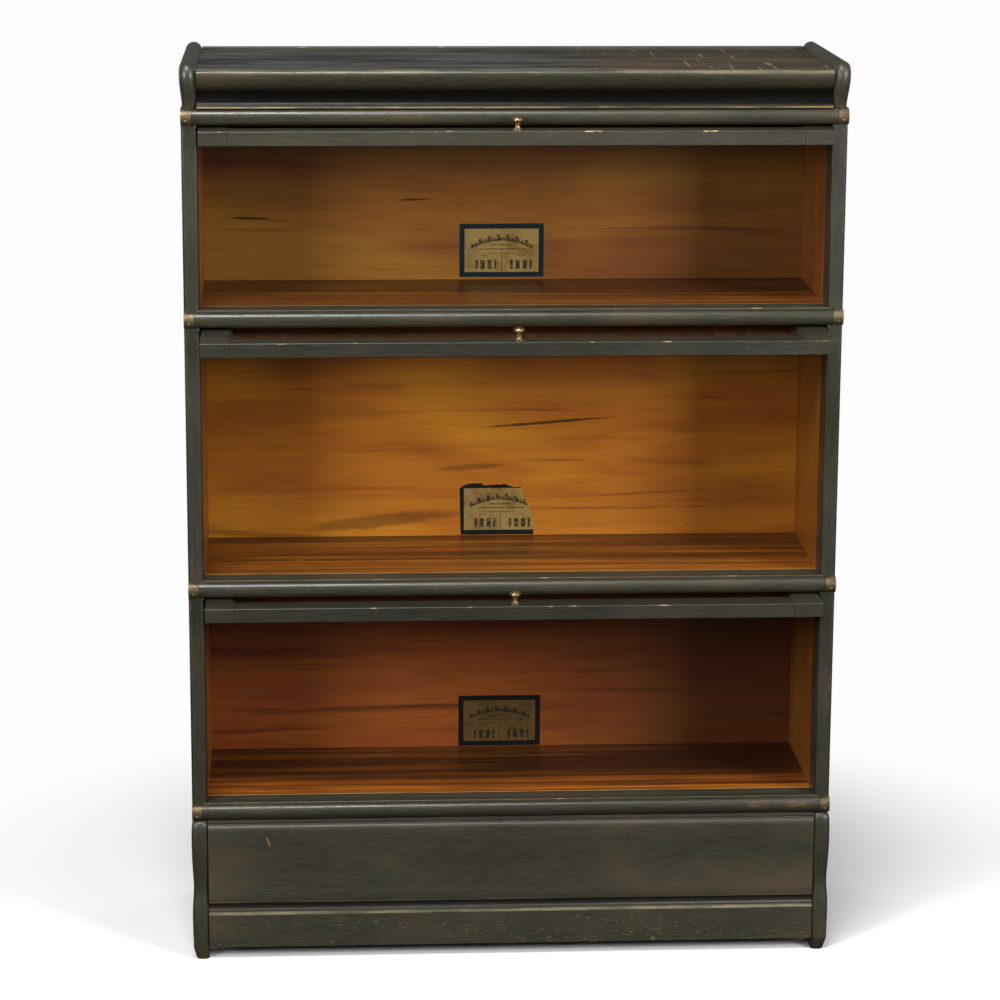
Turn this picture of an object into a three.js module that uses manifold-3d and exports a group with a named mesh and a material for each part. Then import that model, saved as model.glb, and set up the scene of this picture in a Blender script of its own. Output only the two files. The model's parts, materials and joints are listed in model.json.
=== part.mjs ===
// Barrister bookcase: a cap, three stacked sections and a base. Each section has a glazed door that
// lies flat under the unit above and, once drawn right out, swings down to close the front.
//
// Millimetres, +Z up, +X to the right of someone facing the doors, which open towards -Y.
// Units are built with their sides' front edges on the plane y = 0 and their feet on z = 0, and the
// whole is then moved back so that the origin is the middle of the footprint.

import * as THREE from "three";
import { mergeVertices } from "three/addons/utils/BufferGeometryUtils.js";
import Module from "manifold-3d";

const wasm = await Module();
wasm.setup();

// ---- Driving dimensions ----

// Case
const WIDTH = 864; // over the two sides
const DEPTH = 275; // a side's front edge to its back edge
const SECTION_HEIGHTS = [264, 363, 309]; // top section first
const BASE_HEIGHT = 197;
const CAP_HEIGHT = 82;
const SIDE_THICKNESS = 20.6;
const SIDE_EDGE_RADIUS = 3;
const BACK_THICKNESS = 12;
const BACK_RECESS = 22; // a side's back edge to the back panel
const REBATE_WIDTH = 8; // how far the back panel is let into each side
const SEAT_GAP = 0.3; // between pieces that rest on or butt against each other

// Shelf and the half-round rail in front of it
const RAIL_HEIGHT = 21.5;
const RAIL_PROUD = 9; // how far the rail stands in front of the sides
const SHELF_THICKNESS = 22.2;
const SHELF_STEP = 1.5; // shelf top above rail top
const SHELF_SEAT = 7; // how far the shelf is let into the foot of each side
const COVE_WIDTH = 23;
const COVE_DEPTH = 3;
const COVE_SETBACK = 5; // front edge to the cove
const COVE_STOP = 6; // the cove ends this far from each side

// Metal bands at each joint between units
const BAND_THICKNESS = 1.4;
const BAND_CAP_WIDTH = 13.5;

// Doors
const DOOR_THICKNESS = 19.5;
const DOOR_SIDE_GAP = 2.4;
const DOOR_TOP_GAP = 3;
const DOOR_BOTTOM_GAP = 2;
const DOOR_SETBACK = 1; // a closed door's face behind the sides' front edges
const DOOR_BACK_GAPS = [46, 3, 9]; // how far each open door is left from the back panel, top first
const STILE_WIDTH = 38;
const DOOR_RAIL_WIDTH = 36;
const DOOR_EDGE_RADIUS = 1.5;
const GLASS_THICKNESS = 3;
const GLASS_LIP = 7.5; // frame lip in front of the glass, across the opening
const GLASS_LIP_THICKNESS = 7;
const GLASS_CLEARANCE = 0.5;
const BEAD_BEVEL = 3; // slope along the lip's inner edge

// Knob
const KNOB_HEIGHT = 17;
const KNOB_RADIUS = 7.5;
const KNOB_STEM_RADIUS = 3.6;
const KNOB_FLANGE_RADIUS = 7;
const KNOB_FLANGE_THICKNESS = 1.6;
const KNOB_SETBACK = 15; // knob centre to the door's lower edge

// Pivot rod, its rollers and the channels that they run in
const ROD_RADIUS = 3;
const ROD_CLEARANCE = 0.4;
const CHANNEL_HEIGHT = 13;
const CHANNEL_DEPTH = 9;
const CHANNEL_WALL = 1.6;
const ROLLER_CLEARANCE = 0.35;

// Cap
const CAP_END_WIDTH = 22;
const CAP_END_BULGE = 15; // how far the ends' fronts swell in front of the sides
const CAP_END_WAIST = 2; // how far the ends' outer faces are set in at the foot
const CAP_MOULDING_PROUD = 11;
const CAP_MOULDING_DEPTH = 25;
const CAP_PANEL_DROP = 10; // top of the ends down to the top panel
const CAP_PANEL_THICKNESS = 12;
const CAP_BACK_THICKNESS = 13;
const CAP_BACK_LIP = 4; // the back rail above the top panel

// Base
const BASE_END_WIDTH = 22;
const BASE_FRONT_DEPTH = 22;
const BASE_PANEL_PROUD = 8;
const PLINTH_TOP = 68; // top of the flat lower part of the front
const FOOT_HEIGHT = 17;
const FOOT_LENGTH = 42;
const FOOT_TAPER = 5;
const BASE_BACK_THICKNESS = 18;

// ---- Worked out from them ----

const HALF_WIDTH = WIDTH / 2;
const HALF_INSIDE = HALF_WIDTH - SIDE_THICKNESS;
const INNER_DEPTH = DEPTH - BACK_RECESS - BACK_THICKNESS; // a side's front edge to the back panel
const BETWEEN = HALF_INSIDE - SEAT_GAP; // half length of a piece fitted between the sides
const SHELF_TOP = RAIL_HEIGHT + SHELF_STEP;
const DOOR_HALF_WIDTH = HALF_INSIDE - DOOR_SIDE_GAP;
const DOOR_HALF_THICKNESS = DOOR_THICKNESS / 2;
const PIVOT_DROP = DOOR_TOP_GAP + DOOR_HALF_THICKNESS; // section top to pivot axis
const DOOR_FOOT = SHELF_TOP + DOOR_BOTTOM_GAP;
const GLASS_FACE = DOOR_HALF_THICKNESS - GLASS_LIP_THICKNESS;
const OPENING_HALF_WIDTH = DOOR_HALF_WIDTH - STILE_WIDTH;
const BAND_CAP_INSIDE = HALF_WIDTH - BAND_CAP_WIDTH;
const CHANNEL_FRONT = DOOR_SETBACK + DOOR_HALF_THICKNESS - CHANNEL_HEIGHT / 2;
const ROLLER_RADIUS = CHANNEL_HEIGHT / 2 - CHANNEL_WALL - ROLLER_CLEARANCE;

// Pivot axis to a door's lower edge, and where the axis rests behind the sides' front edges.
const doorLength = (height) => height - PIVOT_DROP - DOOR_FOOT;
const pivotSetbacks = DOOR_BACK_GAPS.map((gap) => INNER_DEPTH - gap - DOOR_HALF_THICKNESS);
const doorProud = SECTION_HEIGHTS.map((height, i) => doorLength(height) - pivotSetbacks[i]);

// ---- Materials ----

const finish = (color, roughness, metalness = 0) =>
  new THREE.MeshStandardMaterial({ color, roughness, metalness });

const EBONISED = finish(0x3a3a33, 0.42);
const HONEY_OAK = finish(0xa8661c, 0.35);
const BRASS = finish(0x8a7a4c, 0.45, 0.9);
const STEEL = finish(0x77756f, 0.5, 0.9);
const GLASS = new THREE.MeshStandardMaterial({
  color: 0xcfd8d2,
  roughness: 0.05,
  transparent: true,
  opacity: 0.3,
});

// ---- Shapes ----

const X = new THREE.Vector3(1, 0, 0);
const Y = new THREE.Vector3(0, 1, 0);
const Z = new THREE.Vector3(0, 0, 1);

// A closed three.js geometry as a solid that can be joined and cut.
function solidOf(geometry) {
  const bare = geometry.index ? geometry.toNonIndexed() : geometry.clone();
  bare.deleteAttribute("normal");
  bare.deleteAttribute("uv");
  const merged = mergeVertices(bare, 1e-4);
  return new wasm.Manifold(
    new wasm.Mesh({
      numProp: 3,
      vertProperties: new Float32Array(merged.attributes.position.array),
      triVerts: new Uint32Array(merged.index.array),
    }),
  );
}

// The solid as a geometry with flat faces.
function geometryOf(solid) {
  const { numProp, vertProperties, triVerts } = solid.getMesh();
  const positions = new Float32Array(triVerts.length * 3);
  triVerts.forEach((vertex, i) => {
    for (let k = 0; k < 3; k += 1) {
      positions[3 * i + k] = vertProperties[numProp * vertex + k];
    }
  });
  const geometry = new THREE.BufferGeometry();
  geometry.setAttribute("position", new THREE.BufferAttribute(positions, 3));
  geometry.computeVertexNormals();
  return geometry;
}

function box(x0, x1, y0, y1, z0, z1) {
  const geometry = new THREE.BoxGeometry(x1 - x0, y1 - y0, z1 - z0);
  geometry.translate((x0 + x1) / 2, (y0 + y1) / 2, (z0 + z1) / 2);
  return solidOf(geometry);
}

function extrude(shape, depth, curveSegments) {
  return new THREE.ExtrudeGeometry(shape, {
    depth,
    curveSegments,
    bevelEnabled: false,
    steps: 1,
  });
}

// A section drawn as (y, z), carried from x0 to x1.
function alongX(shape, x0, x1, curveSegments = 10) {
  const geometry = extrude(shape, x1 - x0, curveSegments);
  geometry.applyMatrix4(new THREE.Matrix4().makeBasis(Y, Z, X));
  geometry.translate(x0, 0, 0);
  return solidOf(geometry);
}

// A section drawn as (x, z), carried from y0 to y1.
function alongY(shape, y0, y1, curveSegments = 6) {
  const geometry = extrude(shape, y1 - y0, curveSegments);
  geometry.applyMatrix4(
    new THREE.Matrix4().makeBasis(X, Z, Y.clone().negate()),
  );
  geometry.translate(0, y1, 0);
  return solidOf(geometry);
}

// A plan drawn as (x, y), carried from z0 to z1.
function alongZ(shape, z0, z1, curveSegments = 6) {
  const geometry = extrude(shape, z1 - z0, curveSegments);
  geometry.translate(0, 0, z0);
  return solidOf(geometry);
}

// A rectangle whose corners may be rounded: radii go round from (u0, v0), anticlockwise.
function rectangle(u0, u1, v0, v1, radii = [0, 0, 0, 0]) {
  const shape = new THREE.Shape();
  const corners = [
    [u0, v0, Math.PI],
    [u1, v0, 1.5 * Math.PI],
    [u1, v1, 0],
    [u0, v1, 0.5 * Math.PI],
  ];
  corners.forEach(([u, v, start], i) => {
    const r = radii[i];
    const cu = u === u0 ? u + r : u - r;
    const cv = v === v0 ? v + r : v - r;
    if (r > 0) {
      shape.absarc(cu, cv, r, start, start + Math.PI / 2, false);
    } else if (i === 0) {
      shape.moveTo(u, v);
    } else {
      shape.lineTo(u, v);
    }
  });
  shape.closePath();
  return shape;
}

// A profile (radius, height) turned about the z axis.
function turned(points, segments = 24) {
  const profile = points.map(([r, z]) => new THREE.Vector2(r, z));
  const geometry = new THREE.LatheGeometry(profile, segments);
  geometry.rotateX(Math.PI / 2);
  return solidOf(geometry);
}

const bookcase = new THREE.Group();

// Adds a solid to a group as a named mesh. On the left-hand copy, hand is -1.
function addPart(group, name, solid, material, hand = 1) {
  const mesh = new THREE.Mesh(geometryOf(solid), material);
  mesh.name = name;
  mesh.scale.x = hand;
  group.add(mesh);
  return mesh;
}

const HANDS = [
  ["left", -1],
  ["right", 1],
];

// ---- Pieces shared by every unit ----

// The half-round nose of a rail, swollen by grow all round.
function noseShape(grow = 0) {
  const half = RAIL_HEIGHT / 2 - SEAT_GAP;
  const shape = new THREE.Shape();
  shape.moveTo(-SEAT_GAP, half + half + SEAT_GAP);
  shape.absellipse(
    -SEAT_GAP,
    RAIL_HEIGHT / 2,
    RAIL_PROUD - SEAT_GAP + grow,
    half,
    0.5 * Math.PI,
    1.5 * Math.PI,
    false,
    0,
  );
  shape.closePath();
  return shape;
}

function frontRail() {
  const half = BAND_CAP_INSIDE - SEAT_GAP;
  return alongX(noseShape(), -half, half);
}

// A band lies in a recess along the side's foot and wraps round the end of the rail.
function band() {
  const inner = HALF_WIDTH - BAND_THICKNESS;
  const nose = alongX(noseShape(0.3), BAND_CAP_INSIDE, HALF_WIDTH);
  const strip = box(inner, HALF_WIDTH, -RAIL_PROUD / 2, DEPTH, SEAT_GAP, RAIL_HEIGHT - SEAT_GAP);
  return nose.add(strip);
}

// What a side or an end gives up to its band.
function bandRecess() {
  const inner = HALF_WIDTH - BAND_THICKNESS - SEAT_GAP;
  return box(inner, HALF_WIDTH + CAP_END_WIDTH, -DEPTH, 2 * DEPTH, -1, RAIL_HEIGHT);
}

function addRailAndBands(group, suffix) {
  addPart(group, `front_rail_${suffix}`, frontRail(), EBONISED);
  for (const [side, hand] of HANDS) {
    addPart(group, `band_${side}_${suffix}`, band(), BRASS, hand);
  }
}

// ---- Section ----

function sectionSide(height) {
  const radii = [SIDE_EDGE_RADIUS, SIDE_EDGE_RADIUS, 0, 0];
  const plan = rectangle(HALF_INSIDE, HALF_WIDTH, 0, DEPTH, radii);
  const pivot = height - PIVOT_DROP;
  const grooveHalf = CHANNEL_HEIGHT / 2 + SEAT_GAP;
  const shelfSeat = box(
    HALF_INSIDE - 1,
    HALF_INSIDE + SHELF_SEAT + SEAT_GAP,
    -1,
    DEPTH + 1,
    -1,
    SHELF_TOP + SEAT_GAP,
  );
  const rebate = box(
    HALF_INSIDE - 1,
    HALF_INSIDE + REBATE_WIDTH + SEAT_GAP,
    INNER_DEPTH,
    DEPTH + 1,
    -1,
    height + 1,
  );
  const groove = box(
    HALF_INSIDE - 1,
    HALF_INSIDE + CHANNEL_DEPTH + SEAT_GAP,
    CHANNEL_FRONT - SEAT_GAP,
    INNER_DEPTH + 1,
    pivot - grooveHalf,
    pivot + grooveHalf,
  );
  return alongZ(plan, 0, height - SEAT_GAP)
    .subtract(shelfSeat)
    .subtract(rebate)
    .subtract(groove)
    .subtract(bandRecess());
}

// The shelf's front strip is hollowed by a shallow cove with round ends.
function shelf() {
  const half = HALF_INSIDE + SHELF_SEAT;
  const radius = (COVE_WIDTH ** 2 / 4 + COVE_DEPTH ** 2) / (2 * COVE_DEPTH);
  const stop = HALF_INSIDE - COVE_STOP - COVE_WIDTH / 2;
  const cove = new THREE.CapsuleGeometry(radius, 2 * stop, 12, 48);
  cove.rotateZ(Math.PI / 2);
  cove.translate(0, COVE_SETBACK + COVE_WIDTH / 2, SHELF_TOP + radius - COVE_DEPTH);
  const board = box(
    -half,
    half,
    SEAT_GAP,
    INNER_DEPTH + BACK_THICKNESS,
    SHELF_TOP - SHELF_THICKNESS,
    SHELF_TOP,
  );
  return board.subtract(solidOf(cove));
}

function backPanel(height) {
  const half = HALF_INSIDE + REBATE_WIDTH;
  const back = INNER_DEPTH + SEAT_GAP;
  return box(-half, half, back, back + BACK_THICKNESS, SHELF_TOP + SEAT_GAP, height - SEAT_GAP);
}

// A steel channel let into the side, open towards the door.
function channel(height) {
  const pivot = height - PIVOT_DROP;
  const half = CHANNEL_HEIGHT / 2;
  const bore = half - CHANNEL_WALL;
  const end = HALF_INSIDE + CHANNEL_DEPTH;
  const shape = new THREE.Shape();
  shape.moveTo(HALF_INSIDE, pivot - half);
  shape.lineTo(end, pivot - half);
  shape.lineTo(end, pivot + half);
  shape.lineTo(HALF_INSIDE, pivot + half);
  shape.lineTo(HALF_INSIDE, pivot + bore);
  shape.lineTo(end - CHANNEL_WALL, pivot + bore);
  shape.lineTo(end - CHANNEL_WALL, pivot - bore);
  shape.lineTo(HALF_INSIDE, pivot - bore);
  shape.closePath();
  return alongY(shape, CHANNEL_FRONT, INNER_DEPTH);
}

// ---- Door, built about its pivot axis: it lies along -y with its face up ----

// The rod crosses the whole door, and its rollers run in the two channels.
function pivotRod() {
  const end = HALF_INSIDE + CHANNEL_DEPTH - CHANNEL_WALL - ROLLER_CLEARANCE;
  const neck = HALF_INSIDE + ROLLER_CLEARANCE;
  const rod = turned([
    [0, -end],
    [ROLLER_RADIUS, -end],
    [ROLLER_RADIUS, -neck],
    [ROD_RADIUS, -neck],
    [ROD_RADIUS, neck],
    [ROLLER_RADIUS, neck],
    [ROLLER_RADIUS, end],
    [0, end],
  ]);
  return solidOf(geometryOf(rod).rotateY(Math.PI / 2));
}

// A stile's or rail's section across the pivot, round at the back about the rod. It starts with the
// arc, because an arc straight after moveTo would drop the first point.
function topEdgeShape(front, edgeRadius = 0) {
  const half = DOOR_HALF_THICKNESS;
  const shape = new THREE.Shape();
  shape.absarc(0, 0, half, -0.5 * Math.PI, 0.5 * Math.PI, false);
  if (edgeRadius > 0) {
    const centre = front + edgeRadius;
    shape.absarc(centre, half - edgeRadius, edgeRadius, 0.5 * Math.PI, Math.PI, false);
    shape.absarc(centre, edgeRadius - half, edgeRadius, Math.PI, 1.5 * Math.PI, false);
  } else {
    shape.lineTo(front, half);
    shape.lineTo(front, -half);
  }
  shape.closePath();
  const bore = new THREE.Path();
  bore.absarc(0, 0, ROD_RADIUS + ROD_CLEARANCE, 0, 2 * Math.PI, true);
  shape.holes.push(bore);
  return shape;
}

// The space that the glass and the opening take out of the frame, bevelled on the face side.
function glazing(length) {
  const front = -length + DOOR_RAIL_WIDTH;
  const back = DOOR_HALF_THICKNESS - DOOR_RAIL_WIDTH;
  const seat = GLASS_LIP + GLASS_CLEARANCE;
  const glassFace = GLASS_FACE + SEAT_GAP;
  const opening = box(-OPENING_HALF_WIDTH, OPENING_HALF_WIDTH, front, back, -20, 20);
  const rebate = box(
    -OPENING_HALF_WIDTH - seat,
    OPENING_HALF_WIDTH + seat,
    front - seat,
    back + seat,
    -20,
    glassFace,
  );
  const flare = BEAD_BEVEL + 1;
  const rim = DOOR_HALF_THICKNESS + 1;
  const slope = new THREE.Shape();
  slope.moveTo(front, DOOR_HALF_THICKNESS - BEAD_BEVEL);
  slope.lineTo(back, DOOR_HALF_THICKNESS - BEAD_BEVEL);
  slope.lineTo(back + flare, rim);
  slope.lineTo(front - flare, rim);
  slope.closePath();
  const slopeAcross = new THREE.Shape();
  slopeAcross.moveTo(-OPENING_HALF_WIDTH, DOOR_HALF_THICKNESS - BEAD_BEVEL);
  slopeAcross.lineTo(OPENING_HALF_WIDTH, DOOR_HALF_THICKNESS - BEAD_BEVEL);
  slopeAcross.lineTo(OPENING_HALF_WIDTH + flare, rim);
  slopeAcross.lineTo(-OPENING_HALF_WIDTH - flare, rim);
  slopeAcross.closePath();
  const lengthways = alongX(slope, -DOOR_HALF_WIDTH, DOOR_HALF_WIDTH);
  const bevel = lengthways.intersect(alongY(slopeAcross, -length, DOOR_HALF_THICKNESS));
  return opening.add(rebate).add(bevel);
}

function doorStile(length) {
  const shape = topEdgeShape(-length, DOOR_EDGE_RADIUS);
  return alongX(shape, OPENING_HALF_WIDTH, DOOR_HALF_WIDTH, 6).subtract(glazing(length));
}

function doorTopRail(length) {
  const half = OPENING_HALF_WIDTH - SEAT_GAP;
  const shape = topEdgeShape(DOOR_HALF_THICKNESS - DOOR_RAIL_WIDTH);
  return alongX(shape, -half, half).subtract(glazing(length));
}

function doorBottomRail(length) {
  const half = OPENING_HALF_WIDTH - SEAT_GAP;
  const radii = [DOOR_EDGE_RADIUS, 0, 0, DOOR_EDGE_RADIUS];
  const shape = rectangle(
    -length,
    -length + DOOR_RAIL_WIDTH,
    -DOOR_HALF_THICKNESS,
    DOOR_HALF_THICKNESS,
    radii,
  );
  return alongX(shape, -half, half, 6).subtract(glazing(length));
}

function doorGlass(length) {
  return box(
    -OPENING_HALF_WIDTH - GLASS_LIP,
    OPENING_HALF_WIDTH + GLASS_LIP,
    -length + DOOR_RAIL_WIDTH - GLASS_LIP,
    DOOR_HALF_THICKNESS - DOOR_RAIL_WIDTH + GLASS_LIP,
    GLASS_FACE - GLASS_THICKNESS,
    GLASS_FACE,
  );
}

function doorKnob(length) {
  const foot = DOOR_HALF_THICKNESS + SEAT_GAP;
  const neck = KNOB_HEIGHT - KNOB_RADIUS;
  const head = new THREE.SplineCurve([
    new THREE.Vector2(KNOB_STEM_RADIUS, neck - 1),
    new THREE.Vector2(KNOB_RADIUS * 0.93, neck + KNOB_RADIUS * 0.2),
    new THREE.Vector2(KNOB_RADIUS, neck + KNOB_RADIUS * 0.45),
    new THREE.Vector2(KNOB_RADIUS * 0.7, neck + KNOB_RADIUS * 0.85),
    new THREE.Vector2(0, KNOB_HEIGHT),
  ]);
  const knob = turned([
    [0, 0],
    [KNOB_FLANGE_RADIUS, 0],
    [KNOB_FLANGE_RADIUS, KNOB_FLANGE_THICKNESS / 2],
    [KNOB_STEM_RADIUS + 1, KNOB_FLANGE_THICKNESS],
    [KNOB_STEM_RADIUS, KNOB_FLANGE_THICKNESS + 1],
    ...head.getPoints(8).map((point) => [point.x, point.y]),
  ], 20);
  return solidOf(geometryOf(knob).translate(0, KNOB_SETBACK - length, foot));
}

function addDoor(section, number, height) {
  const length = doorLength(height);
  const door = new THREE.Group();
  door.position.set(0, pivotSetbacks[number - 1], height - PIVOT_DROP);
  section.add(door);
  addPart(door, `pivot_rod_${number}`, pivotRod(), STEEL);
  for (const [side, hand] of HANDS) {
    addPart(door, `door_stile_${side}_${number}`, doorStile(length), EBONISED, hand);
  }
  addPart(door, `door_top_rail_${number}`, doorTopRail(length), EBONISED);
  addPart(door, `door_bottom_rail_${number}`, doorBottomRail(length), EBONISED);
  addPart(door, `door_glass_${number}`, doorGlass(length), GLASS);
  addPart(door, `door_knob_${number}`, doorKnob(length), BRASS);
}

function addSection(number, bottom) {
  const height = SECTION_HEIGHTS[number - 1];
  const section = new THREE.Group();
  section.position.z = bottom;
  bookcase.add(section);
  for (const [side, hand] of HANDS) {
    addPart(section, `side_${side}_${number}`, sectionSide(height), HONEY_OAK, hand);
    addPart(section, `channel_${side}_${number}`, channel(height), STEEL, hand);
  }
  addPart(section, `shelf_${number}`, shelf(), HONEY_OAK);
  addPart(section, `back_panel_${number}`, backPanel(height), HONEY_OAK);
  addRailAndBands(section, number);
  addDoor(section, number, height);
}

// ---- Cap ----

// An end is what its front view, its side view and its plan have in common.
function capEnd() {
  const inner = HALF_INSIDE;
  const outer = inner + CAP_END_WIDTH;
  const waist = HALF_WIDTH - CAP_END_WAIST;
  const round = CAP_END_WIDTH / 2;
  const shoulder = CAP_HEIGHT - round;

  const frontView = new THREE.Shape();
  frontView.moveTo(inner, 0);
  frontView.lineTo(waist, 0);
  frontView.lineTo(waist, RAIL_HEIGHT);
  frontView.bezierCurveTo(waist, RAIL_HEIGHT + 14, outer, shoulder - 20, outer, shoulder);
  frontView.absarc(inner + round, shoulder, round, 0, Math.PI, false);
  frontView.closePath();

  const sideView = new THREE.Shape();
  const brow = CAP_HEIGHT - 20;
  sideView.moveTo(0, 0);
  sideView.lineTo(DEPTH, 0);
  sideView.lineTo(DEPTH, CAP_HEIGHT);
  sideView.lineTo(0, CAP_HEIGHT);
  sideView.bezierCurveTo(-9, CAP_HEIGHT, -CAP_END_BULGE, CAP_HEIGHT - 9, -CAP_END_BULGE, brow);
  sideView.bezierCurveTo(-CAP_END_BULGE, brow - 16, -4, RAIL_HEIGHT + 12, -3, RAIL_HEIGHT);
  sideView.lineTo(0, RAIL_HEIGHT);
  sideView.closePath();

  const plan = new THREE.Shape();
  plan.moveTo(inner, DEPTH);
  plan.lineTo(inner, round - CAP_END_BULGE);
  plan.absarc(inner + round, round - CAP_END_BULGE, round, Math.PI, 2 * Math.PI, false);
  plan.lineTo(outer, DEPTH);
  plan.closePath();

  return alongY(frontView, -2 * CAP_END_BULGE, DEPTH, 8)
    .intersect(alongX(sideView, inner - 1, outer + 1, 8))
    .intersect(alongZ(plan, -1, CAP_HEIGHT + 1, 8))
    .subtract(bandRecess());
}

// The moulding between the ends: a round brow, a hollow, and a lip over the rail.
function capMoulding() {
  const panelTop = CAP_HEIGHT - CAP_PANEL_DROP;
  const foot = RAIL_HEIGHT + SEAT_GAP;
  const back = CAP_MOULDING_DEPTH - CAP_MOULDING_PROUD;
  const ledge = 5 - CAP_MOULDING_PROUD; // where the top panel's front edge comes
  const shape = new THREE.Shape();
  shape.moveTo(back, foot);
  shape.lineTo(back, panelTop - CAP_PANEL_THICKNESS - SEAT_GAP);
  shape.lineTo(ledge, panelTop - CAP_PANEL_THICKNESS - SEAT_GAP);
  shape.lineTo(ledge, panelTop - 1);
  shape.bezierCurveTo(
    -CAP_MOULDING_PROUD + 1,
    panelTop - 1,
    -CAP_MOULDING_PROUD,
    panelTop - 4,
    -CAP_MOULDING_PROUD,
    panelTop - 8,
  );
  shape.bezierCurveTo(-CAP_MOULDING_PROUD, panelTop - 18, 0, foot + 26, 0, foot + 14);
  shape.bezierCurveTo(0, foot + 7, -3, foot + 3, -RAIL_PROUD + 2, foot + 2);
  shape.lineTo(-RAIL_PROUD + 2, foot);
  shape.closePath();
  return alongX(shape, -BETWEEN, BETWEEN, 14);
}

function addCap(bottom) {
  const cap = new THREE.Group();
  cap.position.z = bottom;
  bookcase.add(cap);
  const panelTop = CAP_HEIGHT - CAP_PANEL_DROP;
  const panelFront = 5 - CAP_MOULDING_PROUD + SEAT_GAP;
  const panelBack = DEPTH - CAP_BACK_THICKNESS - SEAT_GAP;
  const panel = rectangle(panelFront, panelBack, panelTop - CAP_PANEL_THICKNESS, panelTop, [0, 0, 0, 1]);
  for (const [side, hand] of HANDS) {
    addPart(cap, `cap_end_${side}`, capEnd(), EBONISED, hand);
  }
  addPart(cap, "cap_front_moulding", capMoulding(), EBONISED);
  addPart(cap, "cap_top_panel", alongX(panel, -BETWEEN, BETWEEN, 2), EBONISED);
  addPart(
    cap,
    "cap_back_rail",
    box(-BETWEEN, BETWEEN, DEPTH - CAP_BACK_THICKNESS, DEPTH, 0, panelTop + CAP_BACK_LIP),
    EBONISED,
  );
  addRailAndBands(cap, "cap");
}

// ---- Base ----

function baseEnd() {
  const inner = HALF_INSIDE;
  const outer = inner + BASE_END_WIDTH;
  const top = BASE_HEIGHT - SEAT_GAP;
  const proud = BASE_PANEL_PROUD + 2;
  const waist = 0.5;

  const frontView = new THREE.Shape();
  frontView.moveTo(inner + 1, 0);
  frontView.lineTo(outer - FOOT_TAPER, 0);
  frontView.lineTo(outer, FOOT_HEIGHT);
  frontView.lineTo(outer, PLINTH_TOP);
  frontView.quadraticCurveTo(outer - 2 * waist, BASE_HEIGHT * 0.6, outer, BASE_HEIGHT - 30);
  frontView.bezierCurveTo(outer, BASE_HEIGHT - 12, outer - 2, BASE_HEIGHT - 4, outer - 4, top);
  frontView.lineTo(inner, top);
  frontView.lineTo(inner, FOOT_HEIGHT);
  frontView.closePath();

  const sideView = new THREE.Shape();
  const heel = DEPTH - FOOT_LENGTH;
  sideView.moveTo(FOOT_TAPER - proud, 0);
  sideView.lineTo(FOOT_LENGTH - FOOT_TAPER, 0);
  sideView.lineTo(FOOT_LENGTH, FOOT_HEIGHT);
  sideView.lineTo(heel, FOOT_HEIGHT);
  sideView.lineTo(heel + FOOT_TAPER, 0);
  sideView.lineTo(DEPTH, 0);
  sideView.lineTo(DEPTH, top);
  sideView.lineTo(0, top);
  sideView.bezierCurveTo(-6, top - 2, -proud, BASE_HEIGHT - 9, -proud, BASE_HEIGHT - 20);
  sideView.bezierCurveTo(-proud, BASE_HEIGHT - 50, 3 - proud, PLINTH_TOP + 50, -proud, PLINTH_TOP);
  sideView.lineTo(-proud, FOOT_HEIGHT);
  sideView.closePath();

  const round = BASE_END_WIDTH / 2;
  const plan = new THREE.Shape();
  plan.moveTo(inner, DEPTH);
  plan.lineTo(inner, round - proud);
  plan.absellipse(inner + round, round - proud, round, round, Math.PI, 2 * Math.PI, false, 0);
  plan.lineTo(outer, DEPTH);
  plan.closePath();

  return alongY(frontView, -2 * proud, DEPTH, 8)
    .intersect(alongX(sideView, inner - 1, outer + 1, 8))
    .intersect(alongZ(plan, -1, BASE_HEIGHT + 1, 8));
}

// The front between the ends: a lip, a long hollow panel, a groove, and the flat plinth.
function baseFront() {
  const top = BASE_HEIGHT - SEAT_GAP;
  const proud = BASE_PANEL_PROUD;
  const back = BASE_FRONT_DEPTH - proud;
  const grooveTop = PLINTH_TOP + 12;
  const shape = new THREE.Shape();
  shape.moveTo(back, FOOT_HEIGHT);
  shape.lineTo(back, top);
  shape.lineTo(-3, top);
  shape.lineTo(-3.5, top - 4);
  shape.lineTo(-2, top - 6);
  shape.bezierCurveTo(-proud, top - 8, -proud, top - 12, -proud, top - 18);
  shape.bezierCurveTo(-proud, top - 50, 4 - proud, grooveTop + 50, -proud, grooveTop + 6);
  shape.lineTo(-proud + 1, grooveTop);
  shape.lineTo(-3, grooveTop - 2);
  shape.lineTo(-3, PLINTH_TOP + 2);
  shape.lineTo(-proud + 2, PLINTH_TOP);
  shape.lineTo(-proud + 2, PLINTH_TOP - 4);
  shape.lineTo(-proud, PLINTH_TOP - 5);
  shape.lineTo(-proud, FOOT_HEIGHT);
  shape.closePath();
  return alongX(shape, -BETWEEN, BETWEEN, 14);
}

function addBase() {
  const base = new THREE.Group();
  bookcase.add(base);
  for (const [side, hand] of HANDS) {
    addPart(base, `base_end_${side}`, baseEnd(), EBONISED, hand);
  }
  addPart(base, "base_front", baseFront(), EBONISED);
  addPart(
    base,
    "base_back_rail",
    box(
      -BETWEEN,
      BETWEEN,
      DEPTH - BASE_BACK_THICKNESS,
      DEPTH,
      FOOT_HEIGHT,
      BASE_HEIGHT - SEAT_GAP,
    ),
    EBONISED,
  );
}

// ---- Assembly ----

addBase();
let stackTop = BASE_HEIGHT;
for (let number = SECTION_HEIGHTS.length; number >= 1; number -= 1) {
  addSection(number, stackTop);
  stackTop += SECTION_HEIGHTS[number - 1];
}
addCap(stackTop);

// The footprint runs from the door that stands out most to the back edge of the sides.
bookcase.position.y = (Math.max(...doorProud, CAP_END_BULGE) - DEPTH) / 2;

export default bookcase;
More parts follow.
